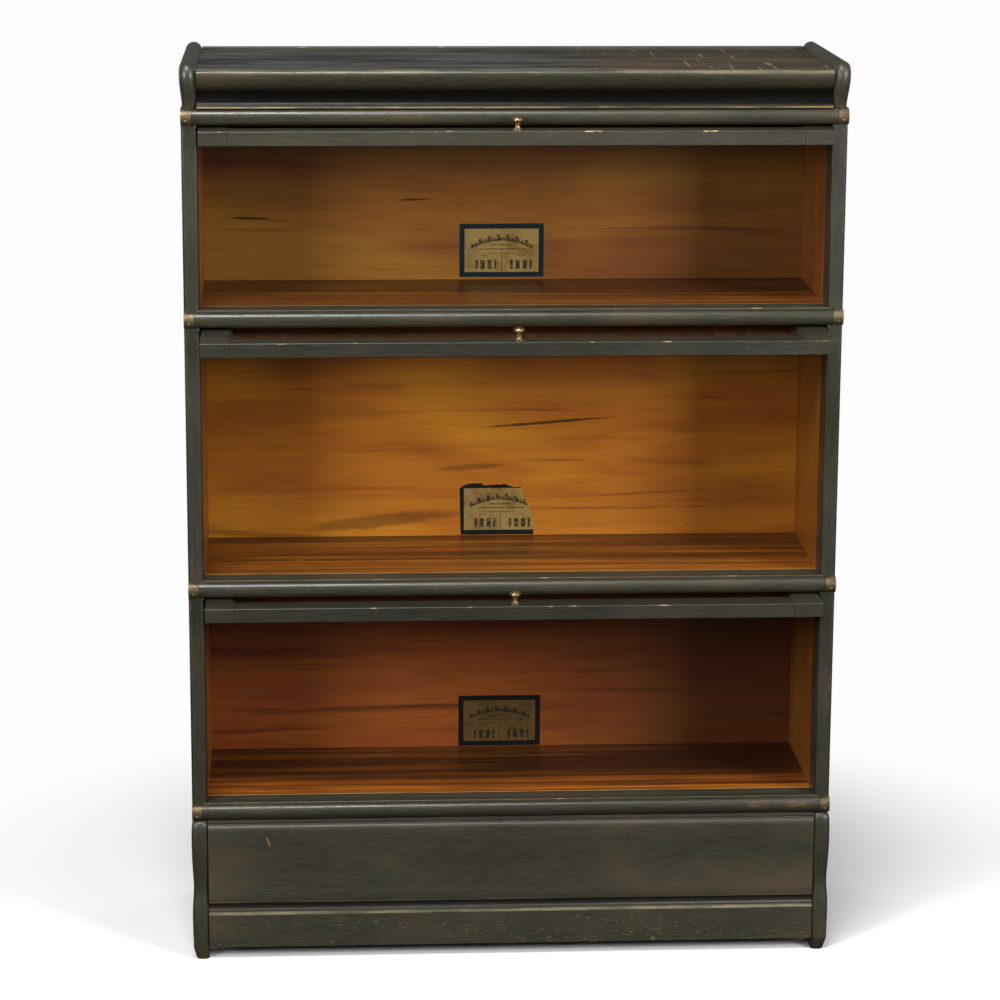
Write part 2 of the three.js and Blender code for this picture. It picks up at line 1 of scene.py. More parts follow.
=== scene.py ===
"""Barrister bookcase: cap, three sections with lift-up glazed doors, and a base.

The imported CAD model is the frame. Most wooden pieces are copies of its meshes with eased arrises,
the ends of the cap and the base are lofts, and every surface gets a node-based finish. Metres,
+Z up, doors facing -Y.
"""

import json
import math
import random

import bmesh
import bpy
from mathutils import Matrix, Vector

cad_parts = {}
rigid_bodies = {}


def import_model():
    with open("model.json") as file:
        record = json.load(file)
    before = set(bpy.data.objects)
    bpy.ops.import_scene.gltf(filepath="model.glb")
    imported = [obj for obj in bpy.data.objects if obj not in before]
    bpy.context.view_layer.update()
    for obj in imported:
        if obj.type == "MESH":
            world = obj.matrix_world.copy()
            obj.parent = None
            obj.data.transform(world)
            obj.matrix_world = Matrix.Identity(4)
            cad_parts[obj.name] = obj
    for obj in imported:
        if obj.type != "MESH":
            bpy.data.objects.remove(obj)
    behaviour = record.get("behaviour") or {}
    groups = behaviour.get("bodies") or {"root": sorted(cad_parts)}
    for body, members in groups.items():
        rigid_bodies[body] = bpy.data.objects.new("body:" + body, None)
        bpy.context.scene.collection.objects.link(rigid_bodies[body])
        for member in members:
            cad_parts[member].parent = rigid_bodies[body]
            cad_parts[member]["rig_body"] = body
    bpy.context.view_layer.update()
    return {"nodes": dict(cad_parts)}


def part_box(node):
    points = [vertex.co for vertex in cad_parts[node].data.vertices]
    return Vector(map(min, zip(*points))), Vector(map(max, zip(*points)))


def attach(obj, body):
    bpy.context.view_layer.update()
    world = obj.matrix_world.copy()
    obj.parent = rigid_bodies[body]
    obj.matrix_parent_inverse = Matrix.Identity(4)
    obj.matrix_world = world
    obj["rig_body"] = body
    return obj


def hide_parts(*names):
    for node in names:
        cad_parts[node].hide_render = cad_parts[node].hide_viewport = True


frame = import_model()
nodes = frame["nodes"]
scene = bpy.context.scene

MM = 0.001
SECTIONS = (1, 2, 3)
HANDS = (("left", -1), ("right", 1))

# ---- Camera ----

CAMERA_PLACE = (-0.270, -4.344, 1.627)
CAMERA_YAW = -3.38
CAMERA_PITCH = 13.09
CAMERA_ROLL = 0.28
CAMERA_LENS = 118.9
SENSOR_WIDTH = 36


def make_camera():
    data = bpy.data.cameras.new("camera")
    data.lens = CAMERA_LENS
    data.sensor_width = SENSOR_WIDTH
    camera = bpy.data.objects.new("camera", data)
    turn = Matrix.Rotation(math.radians(CAMERA_YAW), 4, "Z")
    tilt = Matrix.Rotation(math.radians(90 - CAMERA_PITCH), 4, "X")
    roll = Matrix.Rotation(math.radians(CAMERA_ROLL), 4, "Z")
    camera.matrix_world = Matrix.Translation(CAMERA_PLACE) @ turn @ tilt @ roll
    scene.collection.objects.link(camera)
    scene.camera = camera


# ---- Materials ----


class Layer:
    """A noise drawn out along the grain, with the values of it that count as none and as full."""

    def __init__(self, stretch, offset, scale, low, high, detail=2.0, rough=0.5, twist=0.0):
        self.stretch, self.offset, self.scale = stretch, offset, scale
        self.low, self.high = low, high
        self.detail, self.rough, self.twist = detail, rough, twist


class Finish:
    """One material, built up node by node."""

    INPUTS = {
        "colour": "Base Color",
        "rough": "Roughness",
        "metal": "Metallic",
        "coat": "Coat Weight",
        "coat_rough": "Coat Roughness",
        "specular": "Specular IOR Level",
        "tint": "Specular Tint",
    }
    # The Mix node has one set of sockets for each kind of value.
    MIX_FACTOR, MIX_A, MIX_B, MIX_RESULT = 0, 6, 7, 2
    WOBBLE_SCALE = 60.0

    def __init__(self, name):
        self.material = bpy.data.materials.new(name)
        self.material.use_nodes = True
        self.tree = self.material.node_tree
        self.shader = self.tree.nodes["Principled BSDF"]
        self.place = self.put("TexCoord").outputs["Object"]
        lot = self.put("Attribute", attribute_name="lot").outputs["Fac"]
        self.lot = self.put("CombineXYZ", {"X": lot, "Y": lot, "Z": lot}).outputs[0]
        self.edge = self.put("Attribute", attribute_name="edge").outputs["Fac"]

    def put(self, kind, inputs=None, **settings):
        node = self.tree.nodes.new("ShaderNode" + kind)
        for key, value in settings.items():
            setattr(node, key, value)
        for key, value in (inputs or {}).items():
            self.set(node.inputs[key], value)
        return node

    def set(self, socket, value):
        if isinstance(value, bpy.types.NodeSocket):
            self.tree.links.new(value, socket)
        else:
            socket.default_value = value

    def math(self, operation, a, b=0.0):
        return self.put("Math", {0: a, 1: b}, operation=operation).outputs[0]

    def vector(self, operation, a, b):
        return self.put("VectorMath", {0: a, 1: b}, operation=operation).outputs[0]

    def times(self, *values):
        product = values[0]
        for value in values[1:]:
            product = self.math("MULTIPLY", product, value)
        return product

    def plus(self, a, b):
        return self.math("ADD", a, b)

    def minus(self, a, b):
        return self.math("SUBTRACT", a, b)

    def off(self, value, level):
        """How far a value is from a level."""
        return self.math("ABSOLUTE", self.minus(value, level))

    def below(self, value, limit):
        return self.math("LESS_THAN", value, limit)

    def span(self, value, low, high, to_low=0.0, to_high=1.0):
        """A smooth step between two values. It falls where low is above high."""
        limits = {"From Min": low, "From Max": high, "To Min": to_low, "To Max": to_high}
        node = self.put("MapRange", {"Value": value, **limits}, interpolation_type="SMOOTHSTEP")
        return node.outputs["Result"]

    def line(self, value, level, half, core):
        """1 within the core about a level, 0 beyond the half width."""
        return self.span(self.off(value, level), half, core)

    def mix(self, factor, a, b):
        sockets = {self.MIX_FACTOR: factor, self.MIX_A: a, self.MIX_B: b}
        return self.put("Mix", sockets, data_type="RGBA").outputs[self.MIX_RESULT]

    def over(self, colour, paint, *masks, strength=1.0):
        """A paint laid over a colour where all the masks are."""
        return self.mix(self.times(*masks, strength), colour, paint)

    def axis(self, name):
        return self.put("SeparateXYZ", {0: self.place}).outputs[name.upper()]

    def along(self, axis, stretch, offset=0.0):
        """Object coordinates drawn out along the grain, shifted by the piece's own lot."""
        scale = [1.0 / stretch if letter == axis else 1.0 for letter in "xyz"]
        moved = self.vector("ADD", self.vector("MULTIPLY", self.place, scale), self.lot)
        return self.vector("ADD", moved, (offset, offset * 0.7, -offset))

    def noise(self, where, scale, detail=2.0, rough=0.5, twist=0.0):
        look = {"Scale": scale, "Detail": detail, "Roughness": rough, "Distortion": twist}
        return self.put("TexNoise", {"Vector": where, **look}).outputs["Fac"]

    def layer(self, axis, kind):
        """The plain noise of a layer."""
        where = self.along(axis, kind.stretch, kind.offset)
        return self.noise(where, kind.scale, kind.detail, kind.rough, kind.twist)

    def shown(self, axis, kind, to_low=0.0, to_high=1.0):
        """A layer as a mask."""
        return self.span(self.layer(axis, kind), kind.low, kind.high, to_low, to_high)

    def specks(self, scale, radius, share, offset=0.0):
        """Round specks: only the given share of the cells holds one."""
        cells = self.put("TexVoronoi", {"Vector": self.along("x", 1.0, offset), "Scale": scale})
        reach = radius * scale
        near = self.span(cells.outputs["Distance"], reach, 0.6 * reach)
        pick = self.put("SeparateXYZ", {0: cells.outputs["Color"]}).outputs["X"]
        return self.times(near, self.below(pick, share))

    def blot(self, centre, reach, axes="xz", soft=0.6, wobble=0.0, slope=0.0):
        """A soft patch about a point: 1 inside, 0 outside its reach. slope tilts its long axis."""
        first, second = (self.minus(self.axis(a), c) for a, c in zip(axes, centre))
        if slope:
            second = self.minus(second, self.times(first, slope))
        ratios = [self.math("DIVIDE", far, size) for far, size in zip((first, second), reach)]
        total = self.plus(*(self.times(ratio, ratio) for ratio in ratios))
        if wobble:
            ripple = self.minus(self.noise(self.place, self.WOBBLE_SCALE), 0.5)
            total = self.plus(total, self.times(ripple, wobble))
        return self.span(total, 1.0, 1.0 - soft)

    def bump(self, height, distance, strength=1.0):
        inputs = {"Height": height, "Distance": distance, "Strength": strength}
        self.set(self.shader.inputs["Normal"], self.put("Bump", inputs).outputs["Normal"])

    def give(self, **values):
        for key, value in values.items():
            self.set(self.shader.inputs[self.INPUTS[key]], value)
        return self.material


def rgb(red, green, blue):
    """A colour as seen on a screen, 0 to 255, as the linear values that nodes take."""
    def linear(value):
        value /= 255
        return value / 12.92 if value <= 0.04045 else ((value + 0.055) / 1.055) ** 2.4

    return (linear(red), linear(green), linear(blue), 1.0)


def toned(colour, tone):
    return tuple(min(value * factor, 1.0) for value, factor in zip(colour, tone)) + (1.0,)


BLACK_WOOD = rgb(37, 36, 27)
GREY_WOOD = rgb(57, 55, 42)
BROWN_WOOD = rgb(74, 57, 38)
PORE = rgb(22, 20, 15)
RUBBED_AND_SHINE = rgb(128, 120, 94)
BARE_WOOD = rgb(206, 168, 118)
RUSTY_WOOD = rgb(146, 110, 72)
PAINT_SPECK = rgb(206, 200, 180)

# Layers of the ebonised oak: stretch, offset, scale, low, high, detail, roughness, distortion.
FIBRE = Layer(26.0, 0.0, 1050.0, 0.28, 0.72, 3.0, 0.62)
FIGURE = Layer(16.0, 3.0, 95.0, 0.42, 0.68, 2.0, 0.5, 0.4)
CLOUD = Layer(1.8, 7.0, 8.0, 0.46, 0.72, 3.0, 0.55)
MOTTLE = Layer(1.0, 9.0, 620.0, 0.50, 0.80, 2.0, 0.6)
PORES = Layer(14.0, 11.0, 1100.0, 0.60, 0.70, 1.0)
ARRIS_WEAR = Layer(6.0, 15.0, 150.0, 0.38, 0.60, 3.0, 0.6)
ARRIS_CHIPS = Layer(4.0, 21.0, 110.0, 0.64, 0.67, 3.0, 0.55)
SCARS = Layer(6.0, 29.0, 420.0, 0.66, 0.70, 2.0, 0.6)
SCAR_PLACES = Layer(2.0, 33.0, 26.0, 0.45, 0.60)
WORN_EDGE = (0.25, 0.7)
CHIP_ROUGHNESS = 0.3
SATIN_CLOUD = (0.3, 0.7)
ROUGHNESS_SWING = 0.06
# How much the fibres, the pores and the mottle add to the relief, and how deep and strong it is.
FIBRE_RISE, PORE_RISE, MOTTLE_RISE = 0.35, -0.8, 0.25
EBONISED_RELIEF = 0.22 * MM
RELIEF_STRENGTH = 0.5
SPECK_RADIUS = 0.5 * MM
SPECK_SHARE = 0.05
PAINT_SPECK_SCALE = 45.0


def ebonised(name, axis, brown=0.35, chips=0.0, rubbed=0.55, extra=None, rough=0.40, coat=0.10, specular=0.5):
    """Oak stained greenish black under worn satin varnish, the grain running along one axis."""
    f = Finish(name)
    fibre, cloud, mottle = (f.layer(axis, kind) for kind in (FIBRE, CLOUD, MOTTLE))
    pores = f.shown(axis, PORES)
    colour = f.mix(f.span(fibre, FIBRE.low, FIBRE.high), BLACK_WOOD, GREY_WOOD)
    colour = f.over(colour, BLACK_WOOD, f.shown(axis, FIGURE), strength=0.30)
    colour = f.over(colour, BROWN_WOOD, f.span(cloud, CLOUD.low, CLOUD.high), strength=brown)
    colour = f.over(colour, PORE, pores, strength=0.5)
    colour = f.mix(f.span(mottle, MOTTLE.low, MOTTLE.high, to_high=0.35), colour, GREY_WOOD)
    colour = f.over(colour, RUBBED_AND_SHINE, f.edge, f.shown(axis, ARRIS_WEAR, to_low=0.25), strength=rubbed)
    chipped = f.times(f.span(f.edge, *WORN_EDGE), f.shown(axis, ARRIS_CHIPS))
    colour = f.mix(chipped, colour, BARE_WOOD)
    if chips:
        scars = f.times(f.shown(axis, SCARS), f.shown(axis, SCAR_PLACES))
        colour = f.over(colour, RUSTY_WOOD, scars, strength=chips)
    if extra:
        colour = extra(f, colour)
    specks = f.specks(PAINT_SPECK_SCALE, SPECK_RADIUS, SPECK_SHARE)
    colour = f.over(colour, PAINT_SPECK, specks, strength=0.6)
    grain = f.plus(f.times(fibre, FIBRE_RISE), f.times(pores, PORE_RISE))
    f.bump(f.plus(grain, f.times(mottle, MOTTLE_RISE)), EBONISED_RELIEF, RELIEF_STRENGTH)
    satin = f.span(cloud, *SATIN_CLOUD, rough - ROUGHNESS_SWING, rough + ROUGHNESS_SWING)
    roughness = f.plus(satin, f.times(chipped, CHIP_ROUGHNESS))
    return f.give(colour=colour, rough=roughness, coat=coat, coat_rough=0.25, specular=specular)


AMBER_LIGHT = rgb(205, 132, 32)
AMBER = rgb(172, 100, 24)
AMBER_RED = rgb(140, 68, 20)
AMBER_DARK = rgb(84, 40, 14)
STREAK = rgb(44, 20, 9)
AMBER_SPECK = rgb(230, 200, 130)

# Layers of the amber oak.
FINE = Layer(60.0, 0.0, 760.0, 0.30, 0.75, 3.0, 0.6)
BAND = Layer(11.0, 5.0, 26.0, 0.22, 0.66, 3.0, 0.5, 0.5)
FLOOR_BAND = Layer(11.0, 5.0, 30.0, 0.22, 0.66, 3.0, 0.5, 0.5)
GLOW = Layer(2.4, 9.0, 7.0, 0.42, 0.66)
VEINS = Layer(26.0, 13.0, 62.0, 0.60, 0.72, 3.0, 0.55, 0.3)
STRIPES = Layer(42.0, 17.0, 64.0, 0.46, 0.60, 3.0, 0.6, 0.2)
DIM_GLOW = (0.62, 0.38)
BAND_RISE = 0.5
AMBER_RELIEF = 0.08 * MM
AMBER_SPECK_SCALE = 50.0


def amber(name, axis, tone, light, band=BAND, stripes=0.0, shade=0.0, extra=None, rough=0.32, specular=0.5):
    """Oak under amber varnish: broad bands, fine fibres, and dark stripes where wanted."""
    shades = (AMBER_LIGHT, AMBER, AMBER_RED, AMBER_DARK, STREAK)
    lit, plain, red, dark, streak = (toned(shade_, tone) for shade_ in shades)
    f = Finish(name)
    fine, bands, glow = (f.layer(axis, kind) for kind in (FINE, band, GLOW))
    colour = f.mix(f.span(bands, band.low, band.high), red, plain)
    colour = f.over(colour, lit, f.span(glow, GLOW.low, GLOW.high), strength=light)
    colour = f.mix(f.span(fine, FINE.low, FINE.high, to_high=0.34), colour, dark)
    colour = f.over(colour, dark, f.shown(axis, VEINS), strength=0.55)
    if stripes:
        colour = f.over(colour, streak, f.shown(axis, STRIPES), strength=stripes)
    if shade:
        colour = f.over(colour, dark, f.span(glow, *DIM_GLOW), strength=shade)
    if extra:
        colour = extra(f, colour)
    specks = f.specks(AMBER_SPECK_SCALE, SPECK_RADIUS, SPECK_SHARE, offset=2.0)
    colour = f.over(colour, toned(AMBER_SPECK, tone), specks, strength=0.45)
    f.bump(f.plus(fine, f.times(bands, BAND_RISE)), AMBER_RELIEF, RELIEF_STRENGTH)
    return f.give(colour=colour, rough=rough, coat=0.12, coat_rough=0.25, specular=specular)


RUBS = Layer(3.0, 0.0, 420.0, 0.62, 0.74)
TARNISH_SOFT = 0.22
TARNISH_ROUGHNESS = 0.2
CLEAN_METAL, DIRTY_METAL = 0.95, 0.65
METAL_RELIEF = 0.15 * MM
METAL_RELIEF_STRENGTH = 0.25


def metal(name, clean, dirty, rough, share=0.5, scale=140.0, dull=0.0):
    """Aged metal: soft cloudy tarnish with a few brighter rubs."""
    f = Finish(name)
    cloud = f.noise(f.place, scale, detail=3.0, rough=0.6)
    tarnish = f.span(cloud, share - TARNISH_SOFT, share + TARNISH_SOFT)
    colour = f.mix(tarnish, clean, dirty)
    colour = f.over(colour, clean, f.shown("y", RUBS), strength=0.35)
    f.bump(cloud, METAL_RELIEF, METAL_RELIEF_STRENGTH)
    roughness = f.plus(f.times(tarnish, TARNISH_ROUGHNESS), rough)
    bare = f.span(tarnish, 0.0, 1.0, CLEAN_METAL - dull, DIRTY_METAL - dull)
    return f.give(colour=colour, rough=roughness, metal=bare)


GLASS_CLEAR = (0.93, 0.93, 0.90, 1)
DUST_DARK = rgb(122, 78, 58)
DUST_LIGHT = rgb(160, 118, 92)
WIPED = Layer(9.0, 0.0, 130.0, 0.3, 0.7, 3.0, 0.6)
# The share of light that glass reflects: straight on, added at the rim, and how fast it climbs.
GLASS_SHINE, RIM_SHINE, RIM_POWER = 0.04, 0.85, 5.0
GLASS_ROUGHNESS = 0.05
# How much dust shows, straight on and at a low angle, and how uneven it is.
DUST_FACING = (0.2, 0.9)
DUST_SHARE = (0.015, 0.10)
DUST_UNEVEN = (0.6, 1.2)


def glass():
    """Thin window glass: clear straight through, polished on top, with a little brown dust on it."""
    f = Finish("door_glass")
    facing = f.put("LayerWeight", {"Blend": 0.5}).outputs["Facing"]
    rim = f.times(f.math("POWER", facing, RIM_POWER), RIM_SHINE)
    share = f.plus(rim, GLASS_SHINE)
    clear = f.put("BsdfTransparent", {"Color": GLASS_CLEAR}).outputs[0]
    shine = f.put("BsdfGlossy", {"Roughness": GLASS_ROUGHNESS}).outputs[0]
    clean = f.put("MixShader", {0: share, 1: clear, 2: shine}).outputs[0]
    wiped = f.layer("y", WIPED)
    dust = f.put("BsdfDiffuse", {"Color": f.mix(wiped, DUST_DARK, DUST_LIGHT)}).outputs[0]
    thin = f.span(facing, *DUST_FACING, *DUST_SHARE)
    film = f.times(thin, f.span(wiped, WIPED.low, WIPED.high, *DUST_UNEVEN))
    dust_and_sheen = f.put("MixShader", {0: film, 1: clean, 2: dust}).outputs[0]
    f.tree.nodes.remove(f.shader)
    f.set(f.tree.nodes["Material Output"].inputs["Surface"], dust_and_sheen)
    return f.material


# ---- Mesh helpers ----

EASE = 0.8 * MM
SHARP = math.radians(35)
SOFT = math.radians(50)
FLAT = math.radians(0.4)
WELD = 0.002 * MM
SHORTEST = 4 * MM
FRAME_EASE = 0.25 * MM
LOT_REACH = 9.0
lots = random.Random(7)


def as_mesh(bm, name, *materials):
    mesh = bpy.data.meshes.new(name)
    bm.to_mesh(mesh)
    bm.free()
    for material in materials:
        mesh.materials.append(material)
    return mesh


def blank():
    """An empty bmesh with the mark that worn arrises carry."""
    bm = bmesh.new()
    bm.verts.layers.float.new("edge")
    return bm


def bridge(bm, here, there):
    """Faces between two closed rows of as many points."""
    count = len(here)
    for i in range(count):
        j = (i + 1) % count
        bm.faces.new((here[i], here[j], there[j], there[i]))


def face_outwards(bm):
    bmesh.ops.recalc_face_normals(bm, faces=bm.faces)


def show(name, mesh, body, replaced=()):
    """Puts a finished mesh in the scene, smooth but for its hard edges, riding on a CAD body."""
    piece = bpy.data.objects.new(name, mesh)
    scene.collection.objects.link(piece)
    for polygon in mesh.polygons:
        polygon.use_smooth = True
    mesh.set_sharp_from_angle(angle=SOFT)
    lot = mesh.attributes.new("lot", "FLOAT", "POINT")
    value = lots.uniform(-LOT_REACH, LOT_REACH)
    lot.data.foreach_set("value", [value] * len(mesh.vertices))
    normals = piece.modifiers.new("normals", "WEIGHTED_NORMAL")
    normals.keep_sharp = True
    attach(piece, body)
    if replaced:
        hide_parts(*replaced)
    return piece


def is_arris(edge):
    outer = edge.is_manifold and edge.is_convex
    return outer and edge.calc_length() > SHORTEST and edge.calc_face_angle() > SHARP


def ease(bm, width):
    """Rounds the long outer arrises, and marks them for wear."""
    mark = bm.verts.layers.float.get("edge") or bm.verts.layers.float.new("edge")
    made = bmesh.ops.bevel(
        bm,
        geom=[edge for edge in bm.edges if is_arris(edge)],
        offset=width,
        offset_type="OFFSET",
        segments=2,
        profile=0.5,
        affect="EDGES",
        clamp_overlap=True,
        material=-1,
    )
    fresh = set(made["faces"])
    for vert in made["verts"]:
        vert[mark] = 1.0 if all(face in fresh for face in vert.link_faces) else 0.0


def copied(node):
    bm = bmesh.new()
    bm.from_mesh(nodes[node].data)
    bmesh.ops.remove_doubles(bm, verts=bm.verts, dist=WELD)
    bmesh.ops.dissolve_limit(bm, angle_limit=FLAT, verts=bm.verts, edges=bm.edges)
    return bm


def refined(node, materials, width=EASE, cut_y=None, choose=None):
    """A copy of a CAD node with eased arrises, cut across at a depth if one is given.

    choose(face) says which material a face takes.
    """
    bm = copied(node)
    if cut_y is not None:
        geom = list(bm.verts) + list(bm.edges) + list(bm.faces)
        bmesh.ops.bisect_plane(bm, geom=geom, plane_co=(0, cut_y, 0), plane_no=(0, 1, 0))
    if width:
        ease(bm, width)
    if choose:
        bm.normal_update()
        for face in bm.faces:
            face.material_index = choose(face)
    name = node + "_look"
    return show(name, as_mesh(bm, name, *materials), nodes[node]["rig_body"], [node])


def dress(node, material):
    """Gives a CAD node that is right as it stands its finish."""
    mesh = nodes[node].data
    for index in range(len(mesh.materials)):
        mesh.materials[index] = material
    if not mesh.materials:
        mesh.materials.append(material)


def loft(name, rings, material, body, replaced=()):
    """A closed skin through rings of as many points."""
    bm = blank()
    rows = [[bm.verts.new(point) for point in ring] for ring in rings]
    for low, high in zip(rows, rows[1:]):
        bridge(bm, low, high)
    bm.faces.new(list(reversed(rows[0])))
    bm.faces.new(rows[-1])
    face_outwards(bm)
    return show(name, as_mesh(bm, name, material), body, replaced)


def mitred_frame(name, body, rect, base, profile, material):
    """A moulding run round the inside of a rectangle, mitred at its corners.

    profile holds (inwards, up) points, going round the section of the moulding.
    """
    x0, x1, y0, y1 = rect
    corners = ((x0, y0, 1, 1), (x1, y0, -1, 1), (x1, y1, -1, -1), (x0, y1, 1, -1))
    bm = blank()
    rows = []
    for x, y, right, far in corners:
        points = [(x + right * inwards, y + far * inwards, base + up) for inwards, up in profile]
        rows.append([bm.verts.new(point) for point in points])
    for here, there in zip(rows, rows[1:] + rows[:1]):
        bridge(bm, here, there)
    face_outwards(bm)
    ease(bm, FRAME_EASE)
    return show(name, as_mesh(bm, name, material), body)


def bezier(points, steps):
    """Points along a cubic curve, the first left out."""
    made = []
    for k in range(1, steps + 1):
        t = k / steps
        weights = ((1 - t) ** 3, 3 * t * (1 - t) ** 2, 3 * t * t * (1 - t), t ** 3)
        made.append(tuple(sum(w * p[axis] for w, p in zip(weights, points)) for axis in (0, 1)))
    return made


def read_off(points, height):
    """The value at a height on a line of (value, height) points that climbs."""
    for (value, low), (next_value, high) in zip(points, points[1:]):
        if height <= high:
            share = (height - low) / (high - low) if high > low else 1.0
            return value + (next_value - value) * share
    return points[-1][0]


# ---- Finishes ----

SECTION_TONES = {1: (0.50, 0.60, 0.9), 2: (0.98, 1.08, 1.0), 3: (0.62, 0.52, 1.0)}
BACK_LIGHT = {1: 0.6, 2: 0.6, 3: 0.1}
FLOOR_TONES = {1: (0.56, 0.56, 1.0), 2: (0.82, 0.86, 1.0), 3: (1.02, 0.98, 1.0)}
FLOOR_STRIPES = {1: 0.50, 2: 0.65, 3: 0.80}
SIDE_TONE = (0.62, 0.66, 1.0)
CREAM = rgb(186, 150, 96)
UMBER = rgb(36, 19, 8)
FLOOR_DARK = rgb(40, 19, 8)
FLOOR_BROWN = rgb(52, 22, 8)

side_low, side_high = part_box("side_right_1")
FRONT = side_low.y
INSIDE = side_low.x
OUTSIDE = side_high.x
EBONISED_INSIDE = 40 * MM
EBONISED_SHELF = 33 * MM
FLOOR_START = FRONT + EBONISED_SHELF

# Marks on each back panel: x, height above the shelf, half length, half height, slope, strength.
BACK_MARKS = {
    1: (
        (-0.350, 0.086, 0.034, 0.0022, -0.03, 0.95),
        (-0.124, 0.111, 0.026, 0.0016, 0.02, 0.85),
        (-0.310, 0.083, 0.030, 0.0010, -0.02, 0.5),
        (0.16, 0.070, 0.090, 0.0014, 0.01, 0.35),
    ),
    2: (
        (0.056, 0.161, 0.105, 0.0026, 0.075, 0.85),
        (0.120, 0.166, 0.050, 0.0012, 0.05, 0.6),
        (-0.048, 0.098, 0.060, 0.0050, 0.06, 0.45),
        (-0.175, 0.022, 0.130, 0.0120, 0.10, 0.50),
        (0.210, 0.060, 0.120, 0.0020, 0.05, 0.35),
    ),
    3: (
        (-0.150, 0.060, 0.160, 0.0030, 0.02, 0.45),
        (0.200, 0.080, 0.120, 0.0040, -0.03, 0.40),
    ),
}


# Where the painted shade at the right end of the third panel starts and is full, and its strength.
SHADED_END = (-0.10, 0.32)
SHADED_END_STRENGTH = 0.62
# How far below its top a panel's painted shade, under the unit above, starts and is full, and its strength.
TOP_SHADE_START, TOP_SHADE_FULL = 0.11, 0.02
TOP_SHADE_STRENGTH = 0.72


def back_marks(number):
    """The panel's own dark streaks, with painted shade along its top under the unit above, and on the third
    panel painted shade towards its right end.
    """
    shelf_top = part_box(f"shelf_{number}")[1].z
    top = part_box(f"back_panel_{number}")[1].z

    def marks(f, colour):
        for x, lift, length, height, slope, strength in BACK_MARKS[number]:
            place = (x, shelf_top + lift)
            mark = f.blot(place, (length, height), soft=0.8, wobble=0.8, slope=slope)
            colour = f.over(colour, UMBER, mark, strength=strength)
        if number == 3:
            # Painted shade, darker towards the right end of the third panel, where the side wall shades it.
            end_shade = f.span(f.axis("x"), *SHADED_END, to_high=SHADED_END_STRENGTH)
            colour = f.mix(end_shade, colour, UMBER)
        # Painted shade along the top of the panel, where the unit above and the lifted door cast shade.
        top_shade = f.span(f.axis("z"), top - TOP_SHADE_START, top - TOP_SHADE_FULL, to_high=TOP_SHADE_STRENGTH)
        return f.mix(top_shade, colour, UMBER)

    return marks


FLOOR_BANDS = Layer(30.0, 35.0, 46.0, 0.42, 0.58, 3.0, 0.55)
FLOOR_WAVES = Layer(9.0, 31.0, 40.0, 0.0, 1.0, 3.0, 0.6)
FLOOR_SCRATCHES = Layer(14.0, 41.0, 330.0, 0.75, 0.79, 1.0)
FLOOR_LIP = Layer(5.0, 37.0, 90.0, 0.36, 0.50, 3.0, 0.6)
# Depths behind the front of the varnish: the darkening of every floor, and the third one's own.
REAR = (FLOOR_START + 0.03, FLOOR_START + 0.12)
BEHIND = (FLOOR_START + 0.10, FLOOR_START + 0.15)
BEHIND_STRENGTH = 0.70
WAVE_REACH = 0.10
KNOT_PLACE = (0.066, 0.045)
KNOT_SIZE = (0.011, 0.005)
LIP = (FLOOR_START + 2.6 * MM, FLOOR_START + 1.4 * MM)


def floor_marks(number):
    """A strip of bare wood along the front edge of the varnish, and a darker back."""

    def marks(f, colour):
        y = f.axis("y")
        rear = f.span(y, *REAR, to_low=0.35, to_high=0.85)
        colour = f.over(colour, FLOOR_BROWN, f.shown("x", FLOOR_BANDS), rear)
        if number == 3:
            wavy = f.plus(y, f.times(f.layer("x", FLOOR_WAVES), WAVE_REACH))
            behind = f.span(wavy, *BEHIND, to_high=BEHIND_STRENGTH)
            colour = f.mix(behind, colour, FLOOR_DARK)
            knot = f.blot(KNOT_PLACE, KNOT_SIZE, "xy", soft=0.7, wobble=0.6)
            colour = f.over(colour, FLOOR_DARK, knot, strength=0.85)
        colour = f.over(colour, CREAM, f.shown("x", FLOOR_SCRATCHES), strength=0.5)
        wear_and_shine = f.shown("x", FLOOR_LIP, to_low=0.35, to_high=0.9)
        return f.over(colour, CREAM, f.span(y, *LIP), wear_and_shine)

    return marks


cap_low, cap_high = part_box("cap_front_moulding")
HOLLOW_STAIN_AND_SHADE = rgb(6, 5, 4)
HOLLOW_SHADED_TINT = (0.12, 0.12, 0.12, 1)
WHITE = (1, 1, 1, 1)
LIP_HIGHLIGHT_TAN = rgb(140, 116, 74)
MOULDING_WEAR_AND_SHINE = Layer(9.0, 51.0, 90.0, 0.0, 1.0, 4.0, 0.6)
# Heights on the cap's moulding, as where a mask starts and where it is full.
HOLLOW_TOP = (cap_high.z - 16 * MM, cap_high.z - 27 * MM)
HOLLOW_FOOT = (cap_low.z + 2.5 * MM, cap_low.z + 6 * MM)
BROW = (cap_high.z - 6 * MM, cap_high.z - 2 * MM)
MOULDING_LIP = cap_low.z + 1.6 * MM
LIP_HALF, LIP_CORE = 1.3 * MM, 0.4 * MM


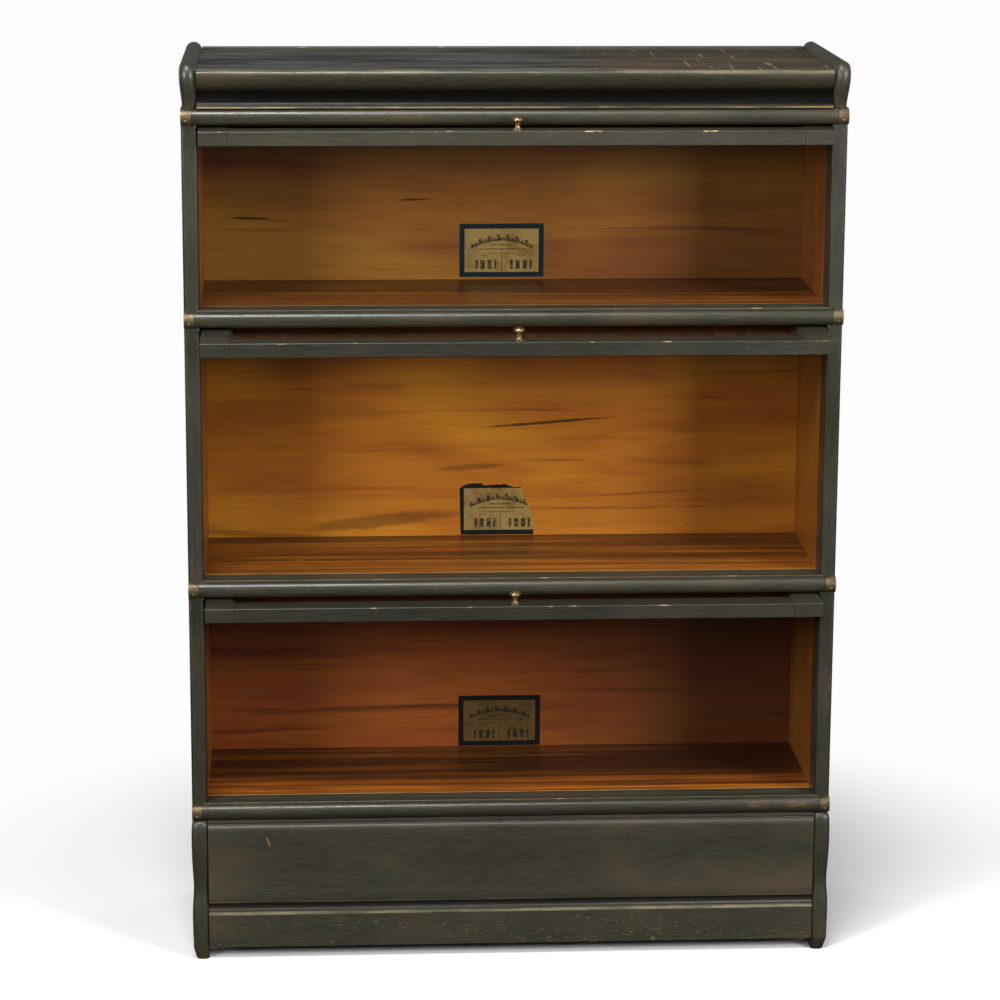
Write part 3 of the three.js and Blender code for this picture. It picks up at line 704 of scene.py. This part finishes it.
def hollow(f, colour):
    """The hollow is darkened, partly its unworn black stain and partly painted shade, and its reflections are
    dimmed as painted shade. A painted highlight runs along the lip, and the top of the brow is lighter,
    partly wear and partly painted highlight.
    """
    z = f.axis("z")
    # Painted shade in the hollow over its unworn black stain. The specular tint dims its reflections there as
    # painted shade.
    hollow_shade = f.times(f.span(z, *HOLLOW_TOP), f.span(z, *HOLLOW_FOOT))
    colour = f.over(colour, HOLLOW_STAIN_AND_SHADE, hollow_shade, strength=0.96)
    f.give(tint=f.mix(hollow_shade, WHITE, HOLLOW_SHADED_TINT))
    wear_and_shine = f.layer("x", MOULDING_WEAR_AND_SHINE)
    # A painted highlight along the lip, broken into patches.
    lip = f.line(z, MOULDING_LIP, LIP_HALF, LIP_CORE)
    colour = f.over(colour, LIP_HIGHLIGHT_TAN, lip, f.span(wear_and_shine, 0.45, 0.60, to_low=0.1, to_high=0.8))
    # The top of the brow is lighter, partly wear and partly painted highlight.
    brow_wear_and_highlight = f.span(wear_and_shine, 0.42, 0.62, to_low=0.10, to_high=0.60)
    return f.over(colour, RUBBED_AND_SHINE, f.span(z, *BROW), brow_wear_and_highlight)


SHEEN_GREYS = (rgb(30, 33, 35), rgb(76, 79, 74))
TOP_BROWNS = (rgb(54, 44, 34), rgb(84, 66, 46))
TOP_SHEEN_AND_STAIN = 0.7
TOP_STROKE = rgb(150, 124, 78)
TOP_FRONT_LINE = rgb(108, 82, 54)
TOP_CLOUD = Layer(5.0, 61.0, 30.0, 0.38, 0.62, 4.0, 0.65)
TOP_STROKES = Layer(14.0, 71.0, 120.0, 0.66, 0.72)
# Where the grey half of the panel, a painted sheen, turns brown, and how far the clouds push that to and fro.
TURNS_BROWN = (0.10, 0.20)
CLOUD_REACH = 0.10
TOP_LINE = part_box("cap_top_panel")[0].y + 5 * MM
TOP_LINE_HALF, TOP_LINE_CORE = 4.5 * MM, 1.5 * MM


def panel_top(f, colour):
    """Blue grey to the left, a painted sheen, brown with tan strokes to the right, and a rubbed line in
    front.
    """
    cloud = f.layer("x", TOP_CLOUD)
    right = f.span(f.plus(f.axis("x"), f.times(cloud, CLOUD_REACH)), *TURNS_BROWN)
    # The blue grey on the left half is a painted sheen.
    dust_and_sheen = f.mix(f.span(cloud, TOP_CLOUD.low, TOP_CLOUD.high), *SHEEN_GREYS)
    brown = f.mix(f.span(cloud, 0.40, 0.60), *TOP_BROWNS)
    colour = f.mix(TOP_SHEEN_AND_STAIN, colour, f.mix(right, dust_and_sheen, brown))
    colour = f.over(colour, TOP_STROKE, f.shown("y", TOP_STROKES), right, strength=0.55)
    line = f.line(f.axis("y"), TOP_LINE, TOP_LINE_HALF, TOP_LINE_CORE)
    return f.over(colour, TOP_FRONT_LINE, line, f.span(cloud, 0.38, 0.55, to_low=0.3, to_high=0.9))


# Painted highlights along the base's small mouldings: height and half width in mm, and strength.
PLINTH_HIGHLIGHT_LINES = ((64.5, 3.0, 0.9), (80.5, 1.4, 0.3))
PLINTH_HIGHLIGHT = rgb(136, 126, 96)
PLINTH_TOP = (60 * MM, 54 * MM)
LINE_CORE = 0.3
GROOVE = 74.5 * MM
GROOVE_HALF = 5.4 * MM
GROOVE_SHADE = rgb(14, 13, 10)
ALL_ALONG = 9.0
SCRATCH_PLACE = (0.166, -0.330)
SCRATCH_SIZE = (0.0085, 0.0019)
SCRATCH_BROWN = rgb(128, 98, 62)
DRY_BROWN = rgb(138, 104, 70)
PLINTH_HIGHLIGHT_PATCHES = Layer(9.0, 81.0, 110.0, 0.38, 0.64, 4.0, 0.6)
DRY_FLAKES = Layer(9.0, 91.0, 880.0, 0.63, 0.69, 2.0, 0.6)
DRY_PLACES = Layer(3.0, 93.0, 24.0, 0.38, 0.56)


def base_wear_and_shading(f, colour):
    """Painted highlights in patches along the small mouldings over the plinth, and painted shade in the
    groove between them.
    """
    z = f.axis("z")
    wear_and_shine = f.shown("x", PLINTH_HIGHLIGHT_PATCHES, to_low=0.15, to_high=0.75)
    # Painted shade in the groove between the small mouldings.
    groove = f.blot((0.0, GROOVE), (ALL_ALONG, GROOVE_HALF), soft=0.9)
    colour = f.over(colour, GROOVE_SHADE, groove, strength=0.8)
    # Painted highlight lines along the small mouldings, in patches.
    for height, half, strength in PLINTH_HIGHLIGHT_LINES:
        line = f.line(z, height * MM, half * MM, LINE_CORE * half * MM)
        colour = f.over(colour, PLINTH_HIGHLIGHT, line, wear_and_shine, strength=strength)
    scratch = f.blot(SCRATCH_PLACE, SCRATCH_SIZE, "zx", wobble=1.2, slope=-0.35)
    colour = f.over(colour, SCRATCH_BROWN, scratch, strength=0.75)
    flakes = f.times(f.shown("x", DRY_FLAKES), f.shown("x", DRY_PLACES, to_low=0.15))
    return f.over(colour, DRY_BROWN, flakes, f.span(z, *PLINTH_TOP), strength=0.7)


DOOR_CHIPS = Layer(3.5, 47.0, 130.0, 0.62, 0.68, 3.0, 0.6)
DOOR_DARK = rgb(16, 15, 11)
CHIP_REACH = 1.8 * MM
CHIP_CORE = 0.9 * MM
# Heights between the first door and the second, as where the darker wood starts and is full.
LOWER_DOORS = (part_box("shelf_1")[1].z + 0.08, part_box("shelf_1")[1].z + 0.03)
LOWER_DOORS_STRENGTH = 0.36


def door_chips(f, colour):
    """Bare wood in places along the upper front arris of each door. The lower two doors are darker."""
    y, z = f.axis("y"), f.axis("z")
    torn = f.shown("x", DOOR_CHIPS)
    for n in SECTIONS:
        low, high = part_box(f"door_bottom_rail_{n}")
        near_top = f.line(z, high.z, CHIP_REACH, CHIP_CORE)
        near_front = f.span(y, low.y + CHIP_REACH, low.y + CHIP_CORE)
        colour = f.over(colour, BARE_WOOD, near_top, near_front, torn, strength=0.75)
    lower = f.span(z, *LOWER_DOORS, to_high=LOWER_DOORS_STRENGTH)
    return f.mix(lower, colour, DOOR_DARK)


# Brown patches on the lowest rail: x and half length.
RAIL_PATCHES = ((0.335, 0.020), (0.390, 0.026))
RAIL_BROWN = rgb(118, 84, 50)
PATCH_RISE = 2 * MM
PATCH_HALF = 7 * MM
RAIL_WEAR = Layer(7.0, 97.0, 420.0, 0.42, 0.62, 3.0, 0.7)


def rail_wear(f, colour):
    """Varnish worn through to brown wood towards one end of the lowest rail."""
    low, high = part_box("front_rail_3")
    level = (low.z + high.z) / 2 + PATCH_RISE
    wear_and_shine = f.shown("x", RAIL_WEAR)
    for x, length in RAIL_PATCHES:
        patch = f.blot((x, level), (length, PATCH_HALF), soft=1.0, wobble=1.2)
        colour = f.over(colour, RAIL_BROWN, patch, wear_and_shine, strength=0.6)
    return colour


along_x = ebonised("ebonised_along_x", "x")
along_y = ebonised("ebonised_along_y", "y")
along_z = ebonised("ebonised_along_z", "z", brown=0.3, rubbed=0.4)
rail_wood = ebonised("ebonised_rail", "x", brown=0.45, rubbed=1.0, extra=rail_wear, rough=0.34, coat=0.15)
door_wood = ebonised("ebonised_door", "x", brown=0.25, rubbed=1.0, extra=door_chips)
moulding_wood = ebonised("ebonised_moulding", "x", brown=0.5, rubbed=1.0, extra=hollow, rough=0.34)
panel_wood = ebonised("ebonised_panel", "x", extra=panel_top, rough=0.68, coat=0.0, specular=0.3)
plinth_wood = ebonised("ebonised_plinth", "x", brown=0.65, extra=base_wear_and_shading, rough=0.46)
foot_wood = ebonised("ebonised_foot", "z", brown=0.7, chips=0.3, rubbed=0.7, rough=0.46)
bead_wood = ebonised("ebonised_bead", "x", rubbed=1.0)
back_wood, floor_wood = {}, {}
for n in SECTIONS:
    back_wood[n] = amber(f"amber_back_{n}", "x", SECTION_TONES[n], BACK_LIGHT[n], extra=back_marks(n))
    floor_wood[n] = amber(
        f"amber_floor_{n}",
        "x",
        FLOOR_TONES[n],
        light=0.25,
        band=FLOOR_BAND,
        stripes=FLOOR_STRIPES[n],
        shade=0.2,
        extra=floor_marks(n),
        rough=0.36,
        specular=0.35,
    )
side_wood = amber("amber_side", "z", SIDE_TONE, light=0.3)
BAND_COLOURS = (rgb(122, 107, 79), rgb(76, 62, 42))
KNOB_COLOURS = (rgb(168, 140, 104), rgb(84, 70, 46))
STEEL_COLOURS = (rgb(140, 138, 130), rgb(66, 58, 48))
band_brass = metal("band_brass", *BAND_COLOURS, rough=0.42, scale=90.0, dull=0.1)
knob_brass = metal("knob_brass", *KNOB_COLOURS, rough=0.30, share=0.55, scale=200.0)
steel = metal("runner_steel", *STEEL_COLOURS, rough=0.35)
pane = glass()

# ---- Pieces ----


FORWARD = -0.7
SIDE_SKIN = 2 * MM


def runs_across(face):
    """Faces looking forward take the grain that runs across, as the rails beside them do."""
    return 1 if face.normal.y < FORWARD else 0


def side(node):
    """Ebonised outside and for a hand's breadth inside, then amber."""
    start = FRONT + EBONISED_INSIDE

    def choose(face):
        centre = face.calc_center_median()
        within = abs(centre.x) < OUTSIDE - SIDE_SKIN and centre.y > start
        return 1 if within else 0

    return refined(node, [along_z, side_wood], cut_y=start, choose=choose)


def shelf(number):
    def choose(face):
        return 1 if face.calc_center_median().y > FLOOR_START else 0

    woods = [along_x, floor_wood[number]]
    return refined(f"shelf_{number}", woods, cut_y=FLOOR_START, choose=choose)


CAP_GAP = 0.3 * MM
CAP_WAIST_IN = 2 * MM
# The cap end's flank stands straight this far up, and is full this far below the shoulder.
FLANK_FOOT, FLANK_HEAD = 14 * MM, 20 * MM
# The nose: how far its foot stands forward, the drop from the top to its brow, and what its
# curves pull on below and above the brow.
NOSE_FOOT = 3 * MM
NOSE_LEAN = 1 * MM
BROW_DROP = 20 * MM
BELOW_BROW = (12 * MM, 16 * MM)
ABOVE_BROW = 9 * MM
CAP_STEPS = 18
DOME_STEPS = 14
# The dome stops just short of closing to a line.
DOME_SHARE = 0.985
NOSE_STEPS = 16


def cap_end(hand, sign):
    """A tall end with a half-round top and a swollen, domed front, like the head of a bolt."""
    node = f"cap_end_{hand}"
    low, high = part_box(node)
    rail_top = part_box("front_rail_cap")[1].z + CAP_GAP
    radius = (high.x - low.x) / 2
    shoulder = high.z - radius
    outer = INSIDE + 2 * radius
    waist = OUTSIDE - CAP_WAIST_IN
    proud = low.y
    foot = FRONT - NOSE_FOOT
    brow = high.z - BROW_DROP

    flank = (waist, rail_top + FLANK_FOOT), (outer, shoulder - FLANK_HEAD)
    swell = [(waist, rail_top)]
    swell += bezier((swell[0], *flank, (outer, shoulder)), NOSE_STEPS)

    near_foot, near_brow = BELOW_BROW
    rise = (foot - NOSE_LEAN, rail_top + near_foot), (proud, brow - near_brow)
    crown = (proud, high.z - ABOVE_BROW), (FRONT - ABOVE_BROW, high.z)
    nose = [(foot, rail_top)]
    nose += bezier((nose[0], *rise, (proud, brow)), NOSE_STEPS)
    nose += bezier(((proud, brow), *crown, (FRONT, high.z)), NOSE_STEPS)

    levels = [(low.z, FRONT, waist), (rail_top, FRONT, waist)]
    for k in range(CAP_STEPS + 1):
        z = rail_top + (shoulder - rail_top) * k / CAP_STEPS
        levels.append((z, read_off(nose, z), read_off(swell, z)))
    for k in range(1, DOME_STEPS + 1):
        z = shoulder + radius * math.sin(0.5 * math.pi * k / DOME_STEPS * DOME_SHARE)
        levels.append((z, read_off(nose, z), outer))

    rings = []
    for z, front, side_x in levels:
        climb = max(0.0, z - shoulder)
        shrink = radius - math.sqrt(max(radius * radius - climb * climb, 0.0))
        left, right = INSIDE + shrink, side_x - shrink
        half = (right - left) / 2
        middle = (left + right) / 2
        ring = [(sign * left, high.y, z)]
        for k in range(NOSE_STEPS + 1):
            turn = math.pi + math.pi * k / NOSE_STEPS
            x, y = middle + half * math.cos(turn), front + half + half * math.sin(turn)
            ring.append((sign * x, y, z))
        ring.append((sign * right, high.y, z))
        rings.append(ring)
    return loft(node + "_look", rings, along_y, "case", [node])


# The base end's outline going up, in mm: height, outer face set in, front set back.
BASE_OUTLINE = (
    (17, 0.6, 0.0), (40, 0.2, 0.0), (58, 0.0, 0.0), (68, 0.1, 0.5), (78, 0.6, 1.9), (88, 1.3, 3.6),
    (97, 1.8, 4.6), (106, 1.8, 4.4), (118, 1.3, 3.2), (130, 0.7, 1.8), (143, 0.2, 0.6), (156, 0.0, 0.0),
    (172, 0.0, 0.0), (182, 0.2, 0.4), (188, 0.5, 1.2), (192, 1.1, 2.4), (195, 2.0, 4.2), (196.6, 3.6, 7.0),
)
FOOT_OUTLINE = ((0, 5.2, 5.0), (1, 4.6, 4.4), (6, 3.2, 3.0), (12, 1.6, 1.4), (16.8, 0.6, 0.1))
FOOT_DEPTH = 42 * MM
BASE_GAP = 0.1 * MM
BASE_NOSE = 8 * MM
BASE_NOSE_STEPS = 12
# Below 1, the nose is squarer than a half ellipse.
BASE_NOSE_POWER = 0.75


def end_rings(outline, sign, outer, front, back, heel=0.0):
    """Level rings of a board with a rounded front. heel draws the back end in towards the floor."""
    rings = []
    for height, inset, setback in outline:
        z = height * MM
        near, far = INSIDE + BASE_GAP, outer - inset * MM
        half, middle = (far - near) / 2, (far + near) / 2
        start = front + setback * MM
        end = back - heel * setback * MM
        ring = [(sign * near, end, z)]
        for k in range(BASE_NOSE_STEPS + 1):
            turn = math.pi + math.pi * k / BASE_NOSE_STEPS
            across, forward = math.cos(turn), abs(math.sin(turn))
            x = middle + half * math.copysign(abs(across) ** BASE_NOSE_POWER, across)
            ring.append((sign * x, start + BASE_NOSE * (1 - forward ** BASE_NOSE_POWER), z))
        ring.append((sign * far, end, z))
        rings.append(ring)
    return rings


def base_end(hand, sign):
    """An end of the base: rounded in front, with a waist above the plinth, on two tapered feet."""
    node = f"base_end_{hand}"
    low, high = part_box(node)
    outer = max(abs(low.x), abs(high.x))
    rings = end_rings(BASE_OUTLINE, sign, outer, low.y, high.y)
    loft(node + "_look", rings, foot_wood, "case", [node])
    feet = (("front", low.y, FRONT + FOOT_DEPTH, 1.0), ("back", high.y - FOOT_DEPTH, high.y, 0.0))
    for place, front, back, heel in feet:
        rings = end_rings(FOOT_OUTLINE, sign, outer, front, back, heel)
        loft(f"base_foot_{place}_{hand}", rings, foot_wood, "case")


# Sections of the glazing mouldings, in mm: inwards and up.
BEAD = ((0, 0), (3.4, 0), (3.4, 0.9), (2.9, 2.0), (1.8, 2.8), (0, 3.1))
HOLDER = ((0, 0), (7.2, 0), (7.2, -3.0), (4.8, -6.0), (0, -7.0))
BEAD_GAP = 0.05 * MM
REBATE = 7.9 * MM


def glazing_beads(number):
    """The bead round the opening over the glass, and the strip that holds the glass from behind."""
    low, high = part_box(f"door_glass_{number}")
    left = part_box(f"door_stile_left_{number}")[1].x
    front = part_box(f"door_bottom_rail_{number}")[1].y
    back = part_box(f"door_top_rail_{number}")[0].y
    opening = (left + BEAD_GAP, -left - BEAD_GAP, front + BEAD_GAP, back - BEAD_GAP)
    rebate = (left - REBATE, REBATE - left, front - REBATE, back + REBATE)
    above, under = high.z + BEAD_GAP, low.z - BEAD_GAP
    runs = (
        ("bead", opening, above, BEAD, bead_wood),
        ("holder", rebate, under, HOLDER, along_x),
    )
    for kind, rect, base, section, wood in runs:
        profile = [(inwards * MM, up * MM) for inwards, up in section]
        mitred_frame(f"glass_{kind}_{number}", f"door_{number}", rect, base, profile, wood)


SCREW_RADIUS = 2.0 * MM
SCREW_RISE = 0.45
SCREW_SUNK = 0.8 * MM
SCREW_RINGS = 6
SCREW_SIDES = 24


def screw(name, place):
    """A domed screw head, let into the metal, facing -y."""
    bm = blank()
    rows = []
    around = [2 * math.pi * i / SCREW_SIDES for i in range(SCREW_SIDES)]
    for k in range(SCREW_RINGS):
        angle = 0.5 * math.pi * k / SCREW_RINGS
        reach, rise = SCREW_RADIUS * math.cos(angle), SCREW_RISE * SCREW_RADIUS * math.sin(angle)
        ring = [(reach * math.cos(turn), -rise, reach * math.sin(turn)) for turn in around]
        rows.append([bm.verts.new(point) for point in ring])
    foot = [bm.verts.new((vert.co.x, SCREW_SUNK, vert.co.z)) for vert in rows[0]]
    rows.insert(0, foot)
    for here, there in zip(rows, rows[1:]):
        bridge(bm, here, there)
    bm.faces.new(rows[-1])
    bm.faces.new(list(reversed(foot)))
    face_outwards(bm)
    mesh = as_mesh(bm, name, band_brass)
    mesh.transform(Matrix.Translation(place))
    return show(name, mesh, "case")


LABEL_SIZE = (116 * MM, 74 * MM)
LABEL_MIDDLE = -4 * MM
LABEL_THICKNESS = 0.25 * MM
LABEL_GAP = 0.02 * MM
LABEL_LIFT = {1: 3.5 * MM, 2: 1.0 * MM, 3: 1.0 * MM}
LABEL_STEPS = 6
RAGGED = {1: 0.06 * MM, 2: 0.25 * MM, 3: 0.06 * MM}
WHOLE = ((0.0, 0.0), (1.0, 0.0), (1.0, 1.0), (0.0, 1.0))
# The second label is torn: its outline, as shares of its width and height.
TORN = (
    (0.02, 0.0), (0.90, 0.0), (0.90, 0.02), (0.905, 0.20), (0.88, 0.42), (0.80, 0.66), (0.77, 0.86),
    (0.74, 0.93), (0.67, 0.92), (0.60, 0.95), (0.555, 0.985), (0.50, 0.97), (0.45, 0.975),
    (0.36, 0.96), (0.31, 0.955), (0.27, 1.0), (0.12, 0.995), (0.05, 0.955), (0.01, 0.90),
)


def label(number):
    """A thin paper label on the back panel, with slightly ragged edges."""
    name = f"label_{number}"
    width, height = LABEL_SIZE
    x0 = LABEL_MIDDLE - width / 2
    z0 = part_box(f"shelf_{number}")[1].z + LABEL_LIFT[number]
    outline = TORN if number == 2 else WHOLE
    jitter = RAGGED[number]
    ragged = random.Random(number)
    points = []
    for (u0, v0), (u1, v1) in zip(outline, outline[1:] + outline[:1]):
        for k in range(LABEL_STEPS):
            t = k / LABEL_STEPS
            x = x0 + width * (u0 + (u1 - u0) * t) + ragged.uniform(-jitter, jitter)
            z = z0 + height * (v0 + (v1 - v0) * t) + ragged.uniform(-jitter, jitter)
            points.append((x, max(z, z0)))
    bm = blank()
    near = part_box(f"back_panel_{number}")[0].y - LABEL_GAP
    back = [bm.verts.new((x, near, z)) for x, z in points]
    front = [bm.verts.new((x, near - LABEL_THICKNESS, z)) for x, z in points]
    bm.faces.new(front)
    bm.faces.new(list(reversed(back)))
    bridge(bm, back, front)
    face_outwards(bm)
    return show(name, as_mesh(bm, name, label_paper(number, x0, z0)), "case")


PAPER = {1: rgb(132, 110, 62), 2: rgb(132, 110, 62), 3: rgb(82, 62, 32)}
PAPER_STAIN = {1: rgb(104, 80, 42), 2: rgb(104, 80, 42), 3: rgb(62, 44, 20)}
INK = rgb(22, 19, 14)
BORDERS = {1: rgb(8, 27, 31), 2: rgb(9, 16, 17), 3: rgb(7, 10, 10)}
BORDER_WIDTH = 7.0 * MM
# Ruled lines on a label, as shares: height, half height, left, right, dashes across the width,
# and how much of each dash is ink. No dashes means a whole line.
RULES = (
    (0.795, 0.006, 0.35, 0.65, 70, 0.6),
    (0.600, 0.012, 0.37, 0.62, 60, 0.7),
    (0.525, 0.008, 0.23, 0.79, 0, 0),
    (0.445, 0.006, 0.28, 0.67, 0, 0),
    (0.400, 0.008, 0.24, 0.34, 90, 0.7),
    (0.400, 0.008, 0.66, 0.78, 90, 0.7),
    (0.235, 0.085, 0.19, 0.44, 12, 0.62),
    (0.235, 0.085, 0.60, 0.86, 12, 0.62),
)
# The same, on a line that arches over the middle.
ARCHED_RULES = (
    (0.720, 0.038, 0.13, 0.87, 27, 0.55),
    (0.735, 0.058, 0.13, 0.87, 9, 0.30),
    (0.700, 0.016, 0.15, 0.85, 0, 0),
)
ARCH = 1.15
DIVIDER_HALF = 0.004
DIVIDER_TOP = 0.44


PAPER_FIBRE_SCALE = 420.0
PAPER_STAIN_SCALE = 42.0
INK_FADE_SCALE = 320.0
PAPER_RELIEF = 0.05 * MM


def ruled(f, u, level, rule):
    """One ruled line or row of strokes."""
    middle, half, left, right, dashes, share = rule
    inside = f.times(f.below(left, u), f.below(u, right))
    mark = f.times(f.below(f.off(level, middle), half), inside)
    if dashes:
        beat = f.math("FRACT", f.times(u, float(dashes)))
        mark = f.times(mark, f.below(beat, share))
    return mark


def label_paper(number, x0, z0):
    """Tan paper in a dark border, with ruled lines and rows of plain strokes in place of print."""
    f = Finish(f"label_paper_{number}")
    width, height = LABEL_SIZE
    stained = PAPER_STAIN[number]
    u = f.math("DIVIDE", f.minus(f.axis("x"), x0), width)
    v = f.math("DIVIDE", f.minus(f.axis("z"), z0), height)
    fibre = f.noise(f.place, PAPER_FIBRE_SCALE, detail=4.0, rough=0.7)
    own_place = f.along("x", 1.0, offset=3.0 * number)
    stain = f.noise(own_place, PAPER_STAIN_SCALE, detail=3.0, rough=0.6)
    paper = f.mix(f.span(stain, 0.40, 0.72), PAPER[number], stained)
    paper = f.mix(f.span(fibre, 0.35, 0.7, to_high=0.25), paper, stained)
    bend = f.minus(u, 0.5)
    arched = f.plus(v, f.times(bend, bend, ARCH))
    marks = [ruled(f, u, v, rule) for rule in RULES]
    marks += [ruled(f, u, arched, rule) for rule in ARCHED_RULES]
    marks.append(f.times(f.below(f.off(u, 0.5), DIVIDER_HALF), f.below(v, DIVIDER_TOP)))
    ink = marks[0]
    for mark in marks[1:]:
        ink = f.math("MAXIMUM", ink, mark)
    patchy = f.noise(f.place, INK_FADE_SCALE, detail=3.0)
    faded = f.span(patchy, 0.30, 0.62, to_low=0.55, to_high=0.95)
    colour = f.mix(f.times(ink, faded), paper, INK)
    from_end = f.times(f.minus(0.5, f.off(u, 0.5)), width)
    from_top = f.times(f.minus(0.5, f.off(v, 0.5)), height)
    border = f.below(f.math("MINIMUM", from_end, from_top), BORDER_WIDTH)
    wear_and_shine = f.mix(f.span(fibre, 0.60, 0.78, to_high=0.35), BORDERS[number], stained)
    colour = f.mix(border, colour, wear_and_shine)
    f.bump(fibre, PAPER_RELIEF, strength=0.4)
    return f.give(colour=colour, rough=0.85, specular=0.15)


RAIL_EASE = 0.5 * MM
DOOR_EASE = 0.35 * MM
BAND_EASE = 1.0 * MM
MOULDING_EASE = 0.6 * MM
SCREW_PLACE = (-6.75 * MM, 0.75 * MM, 6.0 * MM)

for n in SECTIONS:
    for hand, sign in HANDS:
        side(f"side_{hand}_{n}")
        dress(f"channel_{hand}_{n}", steel)
        refined(f"band_{hand}_{n}", [band_brass], BAND_EASE)
        refined(f"door_stile_{hand}_{n}", [along_y, door_wood], DOOR_EASE, choose=runs_across)
    shelf(n)
    dress(f"back_panel_{n}", back_wood[n])
    dress(f"pivot_rod_{n}", steel)
    dress(f"door_glass_{n}", pane)
    refined(f"front_rail_{n}", [rail_wood], RAIL_EASE)
    refined(f"door_top_rail_{n}", [door_wood], DOOR_EASE)
    refined(f"door_bottom_rail_{n}", [door_wood], DOOR_EASE)
    refined(f"door_knob_{n}", [knob_brass], 0)
    glazing_beads(n)
    label(n)

for hand, sign in HANDS:
    refined(f"band_{hand}_cap", [band_brass], BAND_EASE)
    cap_end(hand, sign)
    base_end(hand, sign)
    for unit in ("cap", *SECTIONS):
        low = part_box(f"band_{hand}_{unit}")[0]
        inwards, back, up = SCREW_PLACE
        screw(f"band_screw_{hand}_{unit}", (sign * (OUTSIDE + inwards), low.y + back, low.z + up))
refined("front_rail_cap", [rail_wood], RAIL_EASE)
refined("cap_front_moulding", [moulding_wood], MOULDING_EASE)
refined("cap_top_panel", [panel_wood])
refined("cap_back_rail", [along_x])
refined("base_front", [plinth_wood])
refined("base_back_rail", [along_x])

# ---- Studio ----

FILL_BELOW = 0.03
FILL_ABOVE = 0.16
HORIZON = 0.15
BACKDROP = 0.98
FLOOR_FADE = (0.5, 1.05)
FLOOR_RADIUS = 60.0
FLOOR_GREYS = (rgb(238, 238, 237), rgb(242, 242, 241))
FLOOR_MOTTLE_SCALE = 0.6
FLOOR_LEVEL = -0.5 * MM
MIDDLE = (0, 0, 0.6)
# Name, place, target, size and power of each soft light.
LIGHTS = (
    ("key_right", (2.3, -2.5, 1.7), MIDDLE, (0.9, 1.1), 100),
    ("key_left", (-2.3, -2.5, 1.7), MIDDLE, (0.9, 1.1), 75),
    ("overhead", (-0.7, -2.0, 3.7), (0, 0, 0.8), (1.6, 0.8), 120),
    ("rear_left", (-3.0, 2.8, 1.3), MIDDLE, (1.2, 1.2), 26),
    ("rear_right", (3.0, 2.8, 1.3), MIDDLE, (1.2, 1.2), 26),
)


def make_floor():
    """A pale floor that takes soft shadows near the bookcase and runs out into the white backdrop."""
    bm = bmesh.new()
    bmesh.ops.create_circle(bm, cap_ends=True, segments=96, radius=FLOOR_RADIUS)
    f = Finish("floor")
    mottle = f.noise(f.place, FLOOR_MOTTLE_SCALE)
    material = f.give(colour=f.mix(mottle, *FLOOR_GREYS), rough=0.9)
    away = f.put("VectorMath", {0: f.place}, operation="LENGTH").outputs["Value"]
    glow = f.put("Emission", {"Color": WHITE, "Strength": BACKDROP}).outputs[0]
    faces = {0: f.span(away, *FLOOR_FADE), 1: f.shader.outputs[0], 2: glow}
    blend = f.put("MixShader", faces).outputs[0]
    f.set(f.tree.nodes["Material Output"].inputs["Surface"], blend)
    floor = bpy.data.objects.new("floor", as_mesh(bm, "floor", material))
    floor.location.z = FLOOR_LEVEL
    floor.visible_glossy = False
    floor.visible_diffuse = False
    scene.collection.objects.link(floor)


def make_world():
    """What the camera sees behind the floor is white. The fill light is dim, and dimmer from below."""
    world = bpy.data.worlds.new("studio")
    scene.world = world
    world.use_nodes = True
    tree = world.node_tree
    place = tree.nodes.new("ShaderNodeTexCoord")
    split = tree.nodes.new("ShaderNodeSeparateXYZ")
    rise = tree.nodes.new("ShaderNodeMapRange")
    rise.inputs["From Min"].default_value = -HORIZON
    rise.inputs["From Max"].default_value = HORIZON
    rise.inputs["To Min"].default_value = FILL_BELOW
    rise.inputs["To Max"].default_value = FILL_ABOVE
    tree.links.new(place.outputs["Generated"], split.inputs[0])
    tree.links.new(split.outputs["Z"], rise.inputs["Value"])
    seen = tree.nodes.new("ShaderNodeLightPath").outputs["Is Camera Ray"]
    pick = tree.nodes.new("ShaderNodeMix")
    tree.links.new(seen, pick.inputs[0])
    tree.links.new(rise.outputs["Result"], pick.inputs[2])
    pick.inputs[3].default_value = BACKDROP
    background = tree.nodes["Background"]
    background.inputs["Color"].default_value = WHITE
    tree.links.new(pick.outputs[0], background.inputs["Strength"])


def softbox(name, place, target, size, power):
    data = bpy.data.lights.new(name, "AREA")
    data.shape = "RECTANGLE"
    data.size, data.size_y = size
    data.energy = power
    light = bpy.data.objects.new(name, data)
    light.location = place
    facing = Vector(target) - Vector(place)
    light.rotation_euler = facing.to_track_quat("-Z", "Y").to_euler()
    scene.collection.objects.link(light)


make_camera()
make_world()
make_floor()
for light in LIGHTS:
    softbox(*light)
scene.view_settings.view_transform = "Standard"
